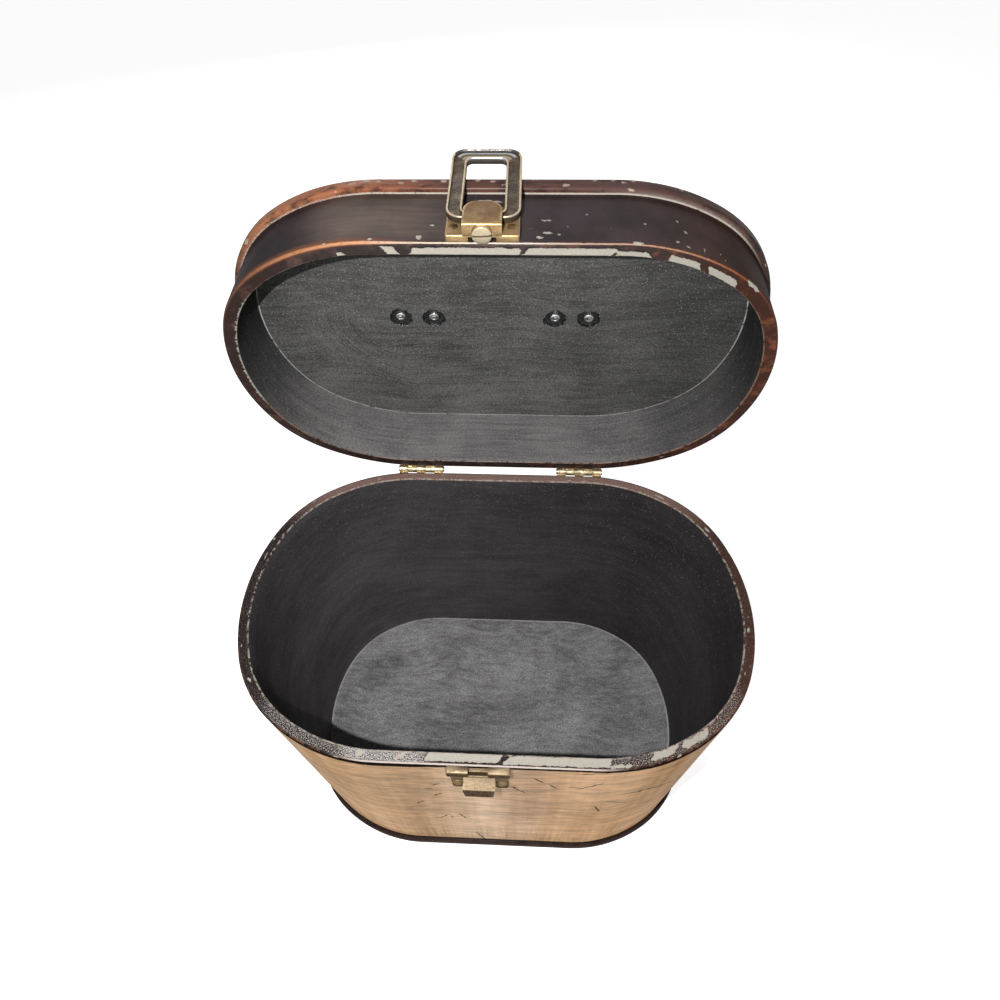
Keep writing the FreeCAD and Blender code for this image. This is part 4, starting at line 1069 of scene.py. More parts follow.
tubCracks = [((-29.6, 144.4), (-27.7, 144.7)), ((-26.0, 152.2), (-23.9, 154.6)), ((-26.8, 130.7), (-24.3, 134.5)),
             ((-31.1, 71.6), (-28.6, 70.6)), ((-28.4, 73.7), (-24.5, 80.3)), ((-23.0, 77.7), (-22.1, 75.0)),
             ((-17.6, 84.6), (-14.9, 73.7)), ((-11.2, 29.1), (-5.3, 0.4)), ((10.2, 154.4), (11.5, 154.7)),
             ((11.6, 152.6), (15.8, 145.1)), ((28.2, 160.6), (30.2, 156.9)), ((41.6, 155.9), (49.9, 166.9)),
             ((37.3, 158.2), (43.6, 158.3)), ((20.7, 171.7), (23.9, 166.6)), ((41.4, 183.1), (52.3, 186.7)),
             ((62.5, 142.0), (71.9, 137.8)), ((71.2, 141.9), (96.1, 120.2)), ((52.4, 116.6), (55.6, 105.6)),
             ((57.0, 128.5), (67.1, 119.6)), ((76.8, 100.9), (84.2, 95.8)), ((-37.8, 109.6), (-34.6, 115.2))]


# How ragged the chips' outlines are, and the stray specks between them
chipEdges = {"wander": 1.1, "wanderSize": 4.0, "nibble": 0.55, "nibbleSize": 1.6, "slant": 0.9, "slantTurn": 5,
             "ends": 1.6, "sides": 0.35, "corner": 1.4, "wallReach": 6, "wallSize": 0.85, "wallNibble": 0.4,
             "wallNibbleSize": 1.3, "strayGain": 4, "straySize": 4.5, "strayDown": 9}


def rimPatchDepth(spot, far, patch):
    # Patches have slanted, wandering ends, nibbled sides and rounded corners
    start, end, near, beyond = patch
    wander = chipEdges["wander"] * ripple((spot.x, spot.y, far), chipEdges["wanderSize"], seed=1.3)
    nibble = chipEdges["nibble"] * ripple((spot.x, spot.y, 2 * far), chipEdges["nibbleSize"], seed=5.1)
    slant = (far - near) * chipEdges["slant"] * math.sin(chipEdges["slantTurn"] * start)
    ends = min(spot.x - start + slant, end - spot.x - slant) + chipEdges["ends"] * wander
    sides = min(far - near + chipEdges["sides"] * wander, beyond - far + nibble)
    corner = chipEdges["corner"]
    depth = min(ends, sides)
    if max(ends, sides) < corner:
        depth = corner - math.hypot(corner - ends, corner - sides)
    return depth + nibble * 0.5


def wallChipDepth(spot, chip):
    centreX, centreZ, halfX, halfZ = chip
    reach = math.hypot((spot.x - centreX) / halfX, (spot.z - centreZ) / halfZ) / chipEdges["wallSize"]
    reach += chipEdges["wallNibble"] * ripple((spot.x, 0, spot.z), chipEdges["wallNibbleSize"], seed=8.0)
    return (1 - reach) * min(halfX, halfZ)


def chipField(info, onRim):
    # How far inside a chip a point lies, in mm; negative outside every chip
    def field(spot, growth, far):
        depths = [wear["none"]]
        if spot.y < 0 and onRim and far > -1:
            depths += [rimPatchDepth(spot, far, patch) for patch in info["rimPatches"]]
        if spot.y < 0 and growth > -1:
            depths += [wallChipDepth(spot, chip) for chip in info["wallChips"]
                       if abs(spot.x - chip[0]) < chipEdges["wallReach"]]
        if growth > -trunk["tubWall"] - 0.5 and far > -chipEdges["strayDown"]:
            stray = ripple((spot.x, spot.y, far * 2), chipEdges["straySize"], seed=3.7) - info["scatter"]
            depths.append(chipEdges["strayGain"] * stray)
        return max(depths)
    return field


crackReach = {"far": 3.0, "skin": 0.1, "wander": 0.7, "wanderSize": 3.0, "pastEnd": 0.8, "beside": 2.4}


def crackMarks(spot, growth):
    # Signed distance across the nearest split in the veneer, and whether the point is beside one
    result = {"acrossCrack": crackReach["far"], "nearCrack": 0.0}
    if growth < -crackReach["skin"] or spot.y > 0:
        return result
    here = Vector((spot.x, spot.z))
    closest = crackReach["far"]
    for start, end in tubCracks:
        start, end = Vector(start), Vector(end)
        along = (end - start).normalized()
        offset = here - start
        place = offset.dot(along)
        across = offset.x * along.y - offset.y * along.x
        across += crackReach["wander"] * ripple((place, start.x, 0), crackReach["wanderSize"])
        past = max(0.0, -place, place - (end - start).length)
        if math.hypot(across, past) < closest:
            closest = math.hypot(across, past)
            near = past < crackReach["pastEnd"] and abs(across) < crackReach["beside"]
            result = {"acrossCrack": across, "nearCrack": 1.0 if near else 0.0}
    return result


def housed(low, high):
    # Sinks the back wall for the hinge leaves between two heights
    def shift(spot, growth):
        if spot.y > 0 and growth > -trunk["tubWall"] / 2 and low <= spot.z <= high:
            if abs(abs(spot.x) - trunk["hingeCentre"]) <= trunk["housingHalf"]:
                spot.y = min(spot.y, halfDepth - trunk["housingDepth"])
        return spot
    return shift


lidPaintMaterial = lidPaintFinish(lidPaint)
lidLining = liningFinish("lidLining", liningPaint["lidWall"])
tubLining = liningFinish("tubLining", liningPaint["tubWall"])
panelLining = liningFinish("panelLining", liningPaint["lidPanel"], (6.0, 6.5, 0.25))
floorLining = liningFinish("floorLining", liningPaint["tubFloor"], (0.0, 1.1, 0.4))
veneerMaterial = veneerFinish(veneer)

tubShell = {"thickness": trunk["tubWall"], "rim": trunk["tubHeight"], "far": 0.0, "outerRound": 0.8,
            "innerRound": 0.6, "outsidePitch": 2.0, "rimPitch": 0.4, "insidePitch": 12.0, "breaks": [173.44, 173.56]}
lidShell = {"thickness": trunk["lidWall"], "rim": trunk["lidBottom"], "far": trunk["lidWallTop"],
            "outerRound": 1.0, "innerRound": 0.6, "outsidePitch": 0.7, "rimPitch": 0.4, "insidePitch": 4.0,
            "breaks": [16.09, 16.21]}
tubMesh = sweepRound("tubShell", wallProfile(tubShell), tubPlacement, tubWear["depth"], chipField(tubWear, True),
                     housed(173.5, 190), crackMarks)
newPiece("tubShell", tubMesh, "tub", [veneerMaterial, tubLining], ["tub_wall"])
lidMesh = sweepRound("lidShell", wallProfile(lidShell), lidPlacement, lidWear["depth"], chipField(lidWear, True),
                     housed(-1, trunk["housingHeight"]))
newPiece("lidShell", lidMesh, "lid", [lidPaintMaterial, lidLining], ["lid_wall"])
print("tub and lid walls ready:", len(tubMesh.vertices), len(lidMesh.vertices))


bandSteps = {"round": 7, "pitch": 0.6, "gap": 0.01}


def mouldingProfile(info):
    # The same for a rounded band outside the wall, from its lower inner corner round to its upper one
    low, high, proud, rounds = info["low"], info["high"], info["proud"], info["rounds"]
    steps, gap = bandSteps["round"], bandSteps["gap"]
    points = [(0, low, 0, -1), (proud - rounds[0] - gap, low, 0, -1)]
    points += arcPoints((proud - rounds[0], low + rounds[0]), rounds[0], -90, 0, steps)
    points += straightPoints((proud, low + rounds[0]), (proud, high - rounds[1]), (1, 0), bandSteps["pitch"])
    points += arcPoints((proud - rounds[1], high - rounds[1]), rounds[1], 0, 90, steps)
    points += [(proud - rounds[1] - gap, high, 0, 1), (0, high, 0, 1)]
    return points, [0] * len(points), distancesRun(points)


topBand = {"low": 30.05, "high": trunk["lidTop"], "proud": 2.85, "rounds": (1.3, 2.4)}
baseBand = {"low": 0.0, "high": 6.0, "proud": 2.7, "rounds": (0.5, 2.0)}
topMesh = sweepRound("lidTopBand", mouldingProfile(topBand), lidPlacement, mouldingWear["depth"],
                     chipField(mouldingWear, False))
newPiece("lidTopBand", topMesh, "lid", [mouldingFinish("topBandPaint", mouldingPaint["top"])],
         ["lid_top_moulding"])
baseMesh = sweepRound("baseBand", mouldingProfile(baseBand), tubPlacement)
newPiece("baseBand", baseMesh, "tub", [mouldingFinish("baseBandPaint", mouldingPaint["base"])],
         ["base_moulding"])

# Boards: the lid's panel is drilled and counterbored for the handle bolts
panel = {"growth": 0.0, "low": trunk["lidWallTop"], "high": trunk["lidTop"], "edgeRound": 0.1, "boreRadius": 5.3,
         "boreDepth": 1.5, "boltHole": 1.25, "bolts": [-48.7, -32.3, 27.3, 43.7], "boltSet": -6.8, "ragged": 1.15,
         "raggedSize": 1.1, "loop": 64, "holeInset": 60.0,
         # From the mouth to the floor: wider than the bore by, up from the face or the floor, and raggedness
         "mouth": [(0.25, 0, 1), (0, 0.35, 0.7)], "foot": [(-0.3, -0.1, 0.4), (-0.6, 0, 0.4)]}
floorBoard = {"growth": -trunk["tubWall"] - 0.02, "low": 0.0, "high": 8.0, "edgeRound": 0.3}


def boltBores(info):
    # Loops round each bore, from its ragged mouth to the upper end of the bolt's hole
    bores = []
    low, floor, wide = info["low"], info["low"] + info["boreDepth"], info["boreRadius"]
    for number, x in enumerate(info["bolts"]):
        def loop(radius, height, ragged):
            spots = []
            for step in range(info["loop"]):
                turn = 2 * math.pi * step / info["loop"]
                place = (3 * math.cos(turn), 3 * math.sin(turn), 7.0 * number)
                spread = radius + info["ragged"] * ragged * ripple(place, info["raggedSize"])
                spots.append((x + spread * math.cos(turn), info["boltSet"] + spread * math.sin(turn), height))
            return spots
        levels = [(low, step) for step in info["mouth"]] + [(floor, step) for step in info["foot"]]
        loops = [loop(wide + more, level + up, ragged) for level, (more, up, ragged) in levels]
        bores.append(loops + [loop(info["boltHole"], floor, 0), loop(info["boltHole"], info["high"], 0)])
    return bores


borePaint = {"roughness": 0.22, "lumps": (1.2, 4, 0.7), "paleFrom": (0.5, 0.75), "dark": (0.008, 0.008, 0.008),
             "pale": (0.06, 0.055, 0.052), "bump": (0.7, 0.0005)}
boreFinish = Finish("boreBlack", Roughness=borePaint["roughness"])
boreTone = boreFinish.noise(boreFinish.bench(), *borePaint["lumps"])
boreColour = boreFinish.mix(boreFinish.ramp(boreTone, *borePaint["paleFrom"]), borePaint["dark"], borePaint["pale"])
boreFinish.set(Base_Color=boreColour, Normal=boreFinish.bump(boreTone, *borePaint["bump"]))
lidTopLacquer = lidTopFinish(lidTopPaint, lidPaint)
panelMesh = board("lidPanel", panel, lidPlacement, boltBores(panel))
newPiece("lidPanel", panelMesh, "lid", [lidTopLacquer, panelLining, boreFinish.material],
         ["lid_top_panel"])
floorMesh = board("tubFloor", floorBoard, tubPlacement)
newPiece("tubFloor", floorMesh, "tub", [floorLining, floorLining], ["floor_panel"])
print("mouldings and boards ready")


# Metal finishes: satin brass with grime and painted shade in the hollows, a darker bronze for the ring whose dark
# tone is partly a painted dark reflection
metals = {
    "agedBrass": {"clean": (0.47, 0.325, 0.16), "dull": (0.165, 0.093, 0.042), "dirtAndShade": (0.05, 0.032, 0.018),
                  "tarnish": (0.15, 0.095, 0.055), "speckle": 0.25, "roughness": 0.38},
    "rivetBrass": {"clean": (0.68, 0.60, 0.43), "dull": (0.50, 0.42, 0.28), "dirtAndShade": (0.07, 0.045, 0.030),
                   "tarnish": (0.30, 0.22, 0.14), "speckle": 0.3, "roughness": 0.48},
    "catchBrass": {"clean": (0.295, 0.225, 0.14), "dull": (0.16, 0.115, 0.067), "dirtAndShade": (0.045, 0.030, 0.018),
                   "tarnish": (0.12, 0.082, 0.050), "speckle": 0.85, "roughness": 0.52},
    # The ring's dark dull tone is partly a painted dark reflection, and its bands are painted reflections and
    # highlights across the far bar
    "ringBronze": {"clean": (0.56, 0.45, 0.31), "dull": (0.058, 0.041, 0.029), "dirtAndShade": (0.035, 0.030, 0.024),
                   "tarnish": (0.05, 0.04, 0.03), "speckle": 0.35, "roughness": 0.30,
                   "bands": [(0.0, (0.30, 0.27, 0.23)), (0.10, (0.12, 0.105, 0.09)), (0.22, (0.045, 0.042, 0.04)),
                             (0.36, (0.62, 0.63, 0.62)), (0.46, (0.20, 0.18, 0.15)), (0.56, (0.09, 0.075, 0.06)),
                             (0.66, (0.62, 0.45, 0.25)), (0.76, (0.16, 0.15, 0.14)), (0.9, (0.55, 0.56, 0.55)),
                             (1.0, (0.32, 0.31, 0.29))]},
    "handleBronze": {"clean": (0.42, 0.30, 0.17), "dull": (0.17, 0.118, 0.065), "dirtAndShade": (0.03, 0.022, 0.014),
                     "tarnish": (0.16, 0.11, 0.065), "speckle": 0.45, "roughness": 0.36},
    "fastenerSteel": {"clean": (0.62, 0.62, 0.61), "dull": (0.055, 0.054, 0.053), "dirtAndShade": (0.012, 0.012, 0.012),
                      "tarnish": (0.05, 0.048, 0.045), "speckle": 0.6, "roughness": 0.25},
    "hingeBrass": {"clean": (0.80, 0.70, 0.46), "dull": (0.38, 0.30, 0.18), "dirtAndShade": (0.05, 0.036, 0.022),
                   "tarnish": (0.14, 0.10, 0.06), "speckle": 0.7, "roughness": 0.36},
}


metalWork = {
    "polish": (0.35, 3),
    "polished": (0.4, 0.7),
    "polishShare": 0.6,
    "patina": (0.22, 5, 0.65),
    "grain": (2.2, 4, 0.85),
    "scratch": ((0.5, 3.0, 5.0), 4, 0.6),
    "brighter": 0.75,
    "toned": (0.42, 0.95),
    "pitted": (0.51, 0.60),
    "pitsPolished": 0.6,
    "roughened": (0.3, 0.9),
    "smoother": 0.07,
    "rougher": 0.16,
    "pitMetal": (0, 1, 1.0, 0.55),
    "streak": ((2.2, 2.2, 0.3), 3),
    "streaked": (0.35, 0.65, 0.65, 1.25),
    "grimeRough": 0.25,
    "bump": (0.25, 0.0002),
}


def metalFinish(name, info, onCad=False):
    # On a CAD node the place comes from the object's own coordinates, in metres
    finish = Finish(name, Specular_IOR_Level=0.0)
    if onCad:
        place = finish.make("ShaderNodeTexCoord", output=3)
        bench = finish.stretch(place, (1000, 1000, 1000))
        bright = finish.ramp(finish.noise(bench, *metalWork["polish"]), *metalWork["polished"])
        bright = bright * metalWork["polishShare"]
    else:
        bench = finish.bench()
        bright = finish.note("polish")
    patina = finish.noise(bench, *metalWork["patina"])
    grain = finish.noise(bench, *metalWork["grain"])
    scratch = finish.streaks(bench, *metalWork["scratch"])
    tone = finish.ramp(patina * 0.5 + scratch * 0.5 + bright * metalWork["brighter"], *metalWork["toned"])
    colour = finish.mix(tone, info["dull"], info["clean"])
    if "bands" in info:
        # The ring's free end gets bands across the bar: painted reflections and highlights of the polished bar
        colour = finish.mix(finish.note("handled"), colour, finish.tones(finish.note("share"), info["bands"]))
    pits = finish.ramp(grain, *metalWork["pitted"]) * info["speckle"]
    colour = finish.mix(pits * (1 - bright * metalWork["pitsPolished"]), colour, info["dirtAndShade"])
    smooth, rough = info["roughness"] - metalWork["smoother"], info["roughness"] + metalWork["rougher"]
    roughness = finish.ramp(patina + pits * 0.5, *metalWork["roughened"], smooth, rough)
    metal = finish.ramp(pits, *metalWork["pitMetal"])
    if not onCad:
        # Dull brown tarnish, deepening to black in corners, slots and recesses: partly grime and partly painted
        # shade
        tarnish, grime = finish.note("tarnish"), finish.note("grime")
        streaky = finish.ramp(finish.streaks(bench, *metalWork["streak"]), *metalWork["streaked"])
        colour = finish.mix(tarnish, colour, finish.scale(info["tarnish"], streaky))
        colour = finish.mix(grime, colour, info["dirtAndShade"])
        metal = metal * (1 - tarnish.math("MAXIMUM", grime))
        roughness = roughness + tarnish.math("MAXIMUM", grime) * metalWork["grimeRough"]
    finish.set(Base_Color=colour, Metallic=metal)
    relief = scratch * 0.4 + grain * 0.5 - pits
    finish.set(Roughness=roughness, Normal=finish.bump(relief, *metalWork["bump"]))
    return finish.material


metalMaterials = {name: metalFinish(name, info) for name, info in metals.items()}
metalOnCad = {name: metalFinish(name + "Solid", metals[name], True)
              for name in ("hingeBrass", "agedBrass", "fastenerSteel")}


# Sheet metal and turned pieces, in the closed trunk's mm
latch = {
    "middle": -4.0,
    "sheet": 0.8,
    "fold": 0.65,
    "plateHalf": 13.9,
    "plateLow": 0.3,
    "plateHigh": 18.0,
    "plateOut": 3.0,
    "plateCorner": 1.0,
    "notchHalf": 5.2,
    "notchUp": 1.2,
    "tongueHalf": 7.3,
    "tongueFrom": 2.6,
    "tongueFold": 0.85,
    "tongueOut": 8.0,
    "tongueEnd": 14.1,
    "tongueRound": 5.6,
    "keeperHalf": 5.6,
    "keeperNear": 1.85,
    "keeperFar": 2.55,
    "keeperOut": 7.6,
    "pivotUp": 8.5,
    "pivotOut": 4.65,
    "screwAcross": 11.0,
    "screwUp": 5.5,
    "sink": [(0.05, -1.2), (1.05, -1.2), (1.05, -0.75), (1.85, 0.02), (1.85, 0.5), (0.05, 0.5)],
    "tarnish": 0.5,
}


def onFront(x, out, up):
    # From the latch's own measures to the closed trunk: across, out from the wall and up
    return Vector((latch["middle"] + x, -halfDepth - out, up))


def polish(work, fullTurn=0.7):
    # Bright where edges are rubbed: how sharp the sharpest arris at each point is
    values = []
    for vertex in work.verts:
        angles = [edge.calc_face_angle(0) for edge in vertex.link_edges if len(edge.link_faces) == 2]
        values.append(min(1.0, max(angles, default=0) / fullTurn))
    return values


def softEdges(work, width=0.1, degrees=50):
    limit = math.radians(degrees)
    sharp = [edge for edge in work.edges if len(edge.link_faces) == 2 and edge.calc_face_angle(0) > limit]
    bmesh.ops.bevel(work, geom=sharp, offset=width, segments=2, profile=0.6, affect="EDGES", clamp_overlap=True)


def loft(loops, capped=True):
    # Faces between loops of equal count, closed at both ends or from the last loop to the first
    work = bmesh.new()
    rings = [[work.verts.new(spot) for spot in loop] for loop in loops]
    for ring, following in zip(rings, rings[1:]):
        bridge(work, ring, following)
    if capped:
        work.faces.new(rings[0])
        work.faces.new(list(reversed(rings[-1])))
    else:
        bridge(work, rings[-1], rings[0])
    return work


def roundedLoop(left, right, low, high, radii, steps=6):
    # Counter-clockwise from the lower right: radii for lower right, upper right, upper left, lower left
    corners = [(right, low, -90), (right, high, 0), (left, high, 90), (left, low, 180)]
    points = []
    for (x, z, start), radius in zip(corners, radii):
        radius = max(radius, 0.02)
        centreX = x - radius if x == right else x + radius
        centreZ = z - radius if z == high else z + radius
        for turn in turns(start, start + 90, steps):
            points.append((centreX + radius * math.cos(turn), centreZ + radius * math.sin(turn)))
    return points


def pressedTray(left, right, low, high, out, sheet, fold, corner):
    # A face standing off the wall on four flanges, with rounded folds
    inner = 0.3
    stack = [(sheet, 0.0), (sheet, out - sheet - inner), (sheet + inner, out - sheet)]
    outer = [(0.0, 0.0), (0.0, out - fold)]
    for turn in turns(0, 90, 4)[1:]:
        outer.append((fold - fold * math.cos(turn), out - fold + fold * math.sin(turn)))
    loops = []
    for inset, rise in list(reversed(stack)) + outer:
        outlineLoop = roundedLoop(left + inset, right - inset, low + inset, high - inset, [corner - inset] * 4)
        loops.append([onFront(x, rise, z) for x, z in outlineLoop])
    return loft(loops)


def foldedStrip(path, halfWidth, sheet, columns=14):
    # A strip of sheet metal along a path of (out, up); halfWidth gives its half width from the distance run
    runs = distancesRun(path)
    normals = []
    for index in range(len(path)):
        before, after = path[max(index - 1, 0)], path[min(index + 1, len(path) - 1)]
        direction = Vector((after[0] - before[0], after[1] - before[1])).normalized()
        normals.append(Vector((direction.y, -direction.x)))
    work = bmesh.new()
    layers = []
    for depth in (0.0, sheet):
        rows = []
        for (out, up), normal, run in zip(path, normals, runs):
            half = halfWidth(run, runs[-1])
            rows.append([work.verts.new(onFront(half * (2 * step / columns - 1), out - normal.x * depth,
                                                up - normal.y * depth)) for step in range(columns + 1)])
        layers.append(rows)
    top, bottom = layers
    for index in range(len(path) - 1):
        for step in range(columns):
            for rows in layers:
                work.faces.new((rows[index][step], rows[index][step + 1], rows[index + 1][step + 1],
                                rows[index + 1][step]))
        for step in (0, columns):
            work.faces.new((top[index][step], top[index + 1][step], bottom[index + 1][step], bottom[index][step]))
    for index in (0, -1):
        for step in range(columns):
            work.faces.new((top[index][step], top[index][step + 1], bottom[index][step + 1], bottom[index][step]))
    bmesh.ops.recalc_face_normals(work, faces=work.faces)
    return work


def foldPath(corners, steps=5):
    # A path of (out, up) with each inner corner, given with a radius, turned into an arc
    path = [corners[0][:2]]
    for before, corner, after in zip(corners, corners[1:], corners[2:]):
        here = Vector(corner[:2])
        back = (Vector(before[:2]) - here).normalized()
        ahead = (Vector(after[:2]) - here).normalized()
        half = math.acos(max(-1.0, min(1.0, back.dot(ahead)))) / 2
        reach = corner[2] / math.tan(half)
        centre = here + (back + ahead).normalized() * (corner[2] / math.sin(half))
        start, end = here + back * reach - centre, here + ahead * reach - centre
        for step in range(steps + 1):
            share = step / steps
            spoke = (start * math.sin((1 - share) * (math.pi - 2 * half)) +
                     end * math.sin(share * (math.pi - 2 * half))) / math.sin(math.pi - 2 * half)
            path.append(tuple(centre + spoke))
    path.append(corners[-1][:2])
    return path


def meshOf(work):
    mesh = bpy.data.meshes.new("part")
    bmesh.ops.recalc_face_normals(work, faces=work.faces)
    work.to_mesh(mesh)
    work.free()
    return mesh


def cut(work, *cutters, tidy=True):
    # Takes the cutters away from the work with Blender's exact boolean
    base = newObject("base", meshOf(work))
    others = []
    for cutter in cutters:
        other = newObject("cutter", meshOf(cutter))
        modifier = base.modifiers.new("cut", "BOOLEAN")
        modifier.operation = "DIFFERENCE"
        modifier.solver = "EXACT"
        modifier.object = other
        others.append(other)
    graph = bpy.context.evaluated_depsgraph_get()
    result = bmesh.new()
    result.from_mesh(base.evaluated_get(graph).to_mesh())
    for item in [base] + others:
        bpy.data.objects.remove(item)
    if tidy:
        bmesh.ops.dissolve_limit(result, angle_limit=0.01, verts=result.verts, edges=result.edges)
    return result


def boxBetween(low, high):
    work = bmesh.new()
    bmesh.ops.create_cube(work, size=1.0)
    low, high = Vector(low), Vector(high)
    for vertex in work.verts:
        share = vertex.co + Vector((0.5, 0.5, 0.5))
        vertex.co = Vector((low[i] + (high[i] - low[i]) * share[i] for i in range(3)))
    return work


def frontBox(left, right, near, far, low, high):
    return boxBetween(onFront(left, far, low), onFront(right, near, high))


# Radius of the tiny end face that a turned piece keeps at its axis
nearAxis = 0.05


def turned(profile, placement, steps=32, capped=True):
    # A piece turned on a lathe from (radius, height) points, standing along the placement's Z
    loops = []
    for radius, height in profile:
        loops.append([placement @ Vector((radius * math.cos(2 * math.pi * step / steps),
                                          radius * math.sin(2 * math.pi * step / steps), height))
                      for step in range(steps)])
    return loft(loops, capped)


def joinWork(works):
    whole = bmesh.new()
    for work in works:
        mesh = meshOf(work)
        whole.from_mesh(mesh)
        bpy.data.meshes.remove(mesh)
    return whole


# Width of a screw's softened edges, and length of its point
screwEdge, screwPoint = 0.06, 0.3


def slottedScrew(info, placement):
    # A domed head with a screwdriver slot, on a plain shank that runs back into the wood
    radius, dome, side, steps = info["radius"], info["dome"], info["side"], 9
    head = [(nearAxis, dome)]
    for step in range(1, steps):
        turn = math.radians(90 * (1 - step / steps))
        head.append((radius * math.cos(turn), side + (dome - side) * math.sin(turn)))
    head += [(radius, side * 0.8), (radius - screwEdge, 0.0), (info["shank"], 0.0),
             (info["shank"], -info["length"]), (nearAxis, -info["length"] - screwPoint)]
    work = turned(head, placement)
    slot = boxBetween((-radius * 2, -info["slot"] / 2, dome - info["slotDepth"]),
                      (radius * 2, info["slot"] / 2, dome + 1))
    slot.transform(placement @ Matrix.Rotation(math.radians(info["turn"]), 4, "Z"))
    work = cut(work, slot)
    softEdges(work, screwEdge, 40)
    return work


def metalPiece(name, work, placement, body, finish, replaces, stains=None):
    # Stains gives a point's tarnish and its grime with painted shade from its place and normal
    bmesh.ops.recalc_face_normals(work, faces=work.faces)
    work.normal_update()
    notes = {"polish": polish(work), "tarnish": [], "grime": []}
    for vertex in work.verts:
        tarnish, grime = stains(vertex.co, vertex.normal) if stains else (0.0, 0.0)
        notes["tarnish"].append(tarnish)
        notes["grime"].append(grime)
    return newPiece(name, finishMesh(name, work, placement, notes), body, [metalMaterials[finish]], replaces)


def facing(spot, direction):
    # Placement whose Z looks along a direction
    turn = Vector(direction).to_track_quat("Z", "Y").to_matrix().to_4x4()
    return Matrix.Translation(spot) @ turn


def slotShadeAndTarnish(screws, tarnish=0.0):
    # Black in the slot of each screw, partly grime and partly painted shade, given as its measures and placement
    def stains(spot, normal):
        for info, placement in screws:
            local = Matrix.Rotation(-math.radians(info["turn"]), 4, "Z") @ placement.inverted() @ spot
            inSlot = local.xy.length < info["radius"] and abs(local.y) < info["slot"] / 2 + 0.1
            if inSlot and 0 < local.z < info["dome"] - info["slotDepth"] + 0.15:
                return 0.0, 1.0
        return tarnish, 0.0
    return stains


# Latch plate: a pressed tray with a tongue bent out from its lower edge and two ribs that hold the ring's rod
half = latch["plateHalf"]
tray = pressedTray(-half, half, latch["plateLow"], latch["plateHigh"], latch["plateOut"], latch["sheet"],
                   latch["fold"], latch["plateCorner"])
notch = latch["notchHalf"]
sinks = [turned(latch["sink"], facing(onFront(side * latch["screwAcross"], latch["plateOut"], latch["screwUp"]),
                                      (0, -1, 0)), 20) for side in (-1, 1)]
tray = cut(tray, frontBox(-notch, notch, -1, latch["plateOut"] - latch["sheet"], -1, latch["notchUp"]), *sinks)
softEdges(tray)
tongueRound = latch["tongueRound"]


def tongueWidth(run, total):
    left = total - run
    if left >= tongueRound:
        return latch["tongueHalf"]
    return latch["tongueHalf"] - tongueRound + math.sqrt(max(0.0, tongueRound ** 2 - (tongueRound - left) ** 2))


tonguePath = foldPath([(latch["tongueFrom"], latch["plateLow"]),
                       (latch["tongueOut"], latch["plateLow"], latch["tongueFold"]),
                       (latch["tongueOut"], latch["tongueEnd"] - tongueRound)])
for turn in turns(0, 90, 9)[1:]:
    tonguePath.append((latch["tongueOut"], latch["tongueEnd"] - tongueRound + tongueRound * math.sin(turn)))
tongue = foldedStrip(tonguePath, tongueWidth, latch["sheet"])
softEdges(tongue)


def plateStains(spot, normal):
    # The tray's face is duller than the tongue and the folds, whichever way a point looks
    onFace = abs(-halfDepth - spot.y - latch["plateOut"]) < 0.05
    return (latch["tarnish"] if onFace else 0.0), 0.0


ribs = []
for near, far in ((-latch["keeperFar"], -latch["keeperNear"]), (latch["keeperNear"], latch["keeperFar"])):
    rib = frontBox(-latch["keeperHalf"], latch["keeperHalf"], latch["tongueFrom"], latch["keeperOut"],
                   latch["pivotUp"] + near, latch["pivotUp"] + far)
    softEdges(rib)
    ribs.append(rib)
metalPiece("latchPlate", joinWork([tray, tongue] + ribs), lidPlacement, "lid", "agedBrass",
           ["latch_plate"], plateStains)
guideRivet = {"radius": 3.7, "dome": 1.8, "side": 1.35, "shank": 0.72, "length": 3.2, "slot": 0.85,
              "slotDepth": 0.85, "turn": 3, "out": 3.8}
rivetPlacement = facing(onFront(0, guideRivet["out"], latch["plateLow"]), (0, 0, -1))
metalPiece("guideRivet", slottedScrew(guideRivet, rivetPlacement), lidPlacement, "lid", "rivetBrass",
           ["latch_guide_rivet"], slotShadeAndTarnish([(guideRivet, rivetPlacement)]))
print("latch plate and rivet ready")


# Ring: a channel with raised lips that runs round an opening, with a round rod at the hinge end
ring = {
    "half": 14.2,
    "thick": 1.5,
    "reach": 41.7,
    "side": 6.3,
    "farBar": 6.1,
    "nearRound": 6.0,
    "farRound": 5.2,
    "innerRound": 2.6,
    "nearInner": 2.6,
    "rodHalf": 6.3,
    "rod": 1.45,
    "bendAt": 28.0,
    "bend": 5.0,
    "lip": 1.05,
    # Across the lip: where its crown ends and the channel begins, and how far its polish reaches
    "lipSteps": (0.75, 1.15, 1.05),
    "lipSlope": 0.8,
    "channel": 0.75,
    # Section: share across the bar, and half thickness above its middle
    "edge": [(0.0, 0.55), (0.02, 0.85), (0.06, 1.0)],
    "channelAt": (0.28, 0.36, 0.46),
    "back": [(1.0, -0.6), (0.97, -0.9), (0.9, -1.0), (0.5, -1.0), (0.1, -1.0), (0.03, -0.9), (0.0, -0.6)],
    "tarnish": 0.7,
    "grimeBelow": 1.5,
    "grimeFrom": 0.6,
    "handledFrom": 1.6,
    "longSide": 6,
}


def ringLoop(info, share):
    # Outline a share of the way from the outer edge to the opening
    half = info["half"] - info["side"] * share
    low = -info["thick"] + 2 * info["thick"] * share
    high = info["reach"] - info["farBar"] * share
    near = info["nearRound"] * (1 - share) + info["nearInner"] * share
    far = info["farRound"] * (1 - share) + info["innerRound"] * share
    corners = roundedLoop(-half, half, low, high, [near, far, far, near], 8)
    points = []
    for point, following in zip(corners, corners[1:] + corners[:1]):
        points.append(point)
        count = 8 if math.dist(point, following) > info["longSide"] else 1
        points += [tuple(Vector(point).lerp(Vector(following), step / count)) for step in range(1, count)]
    return points


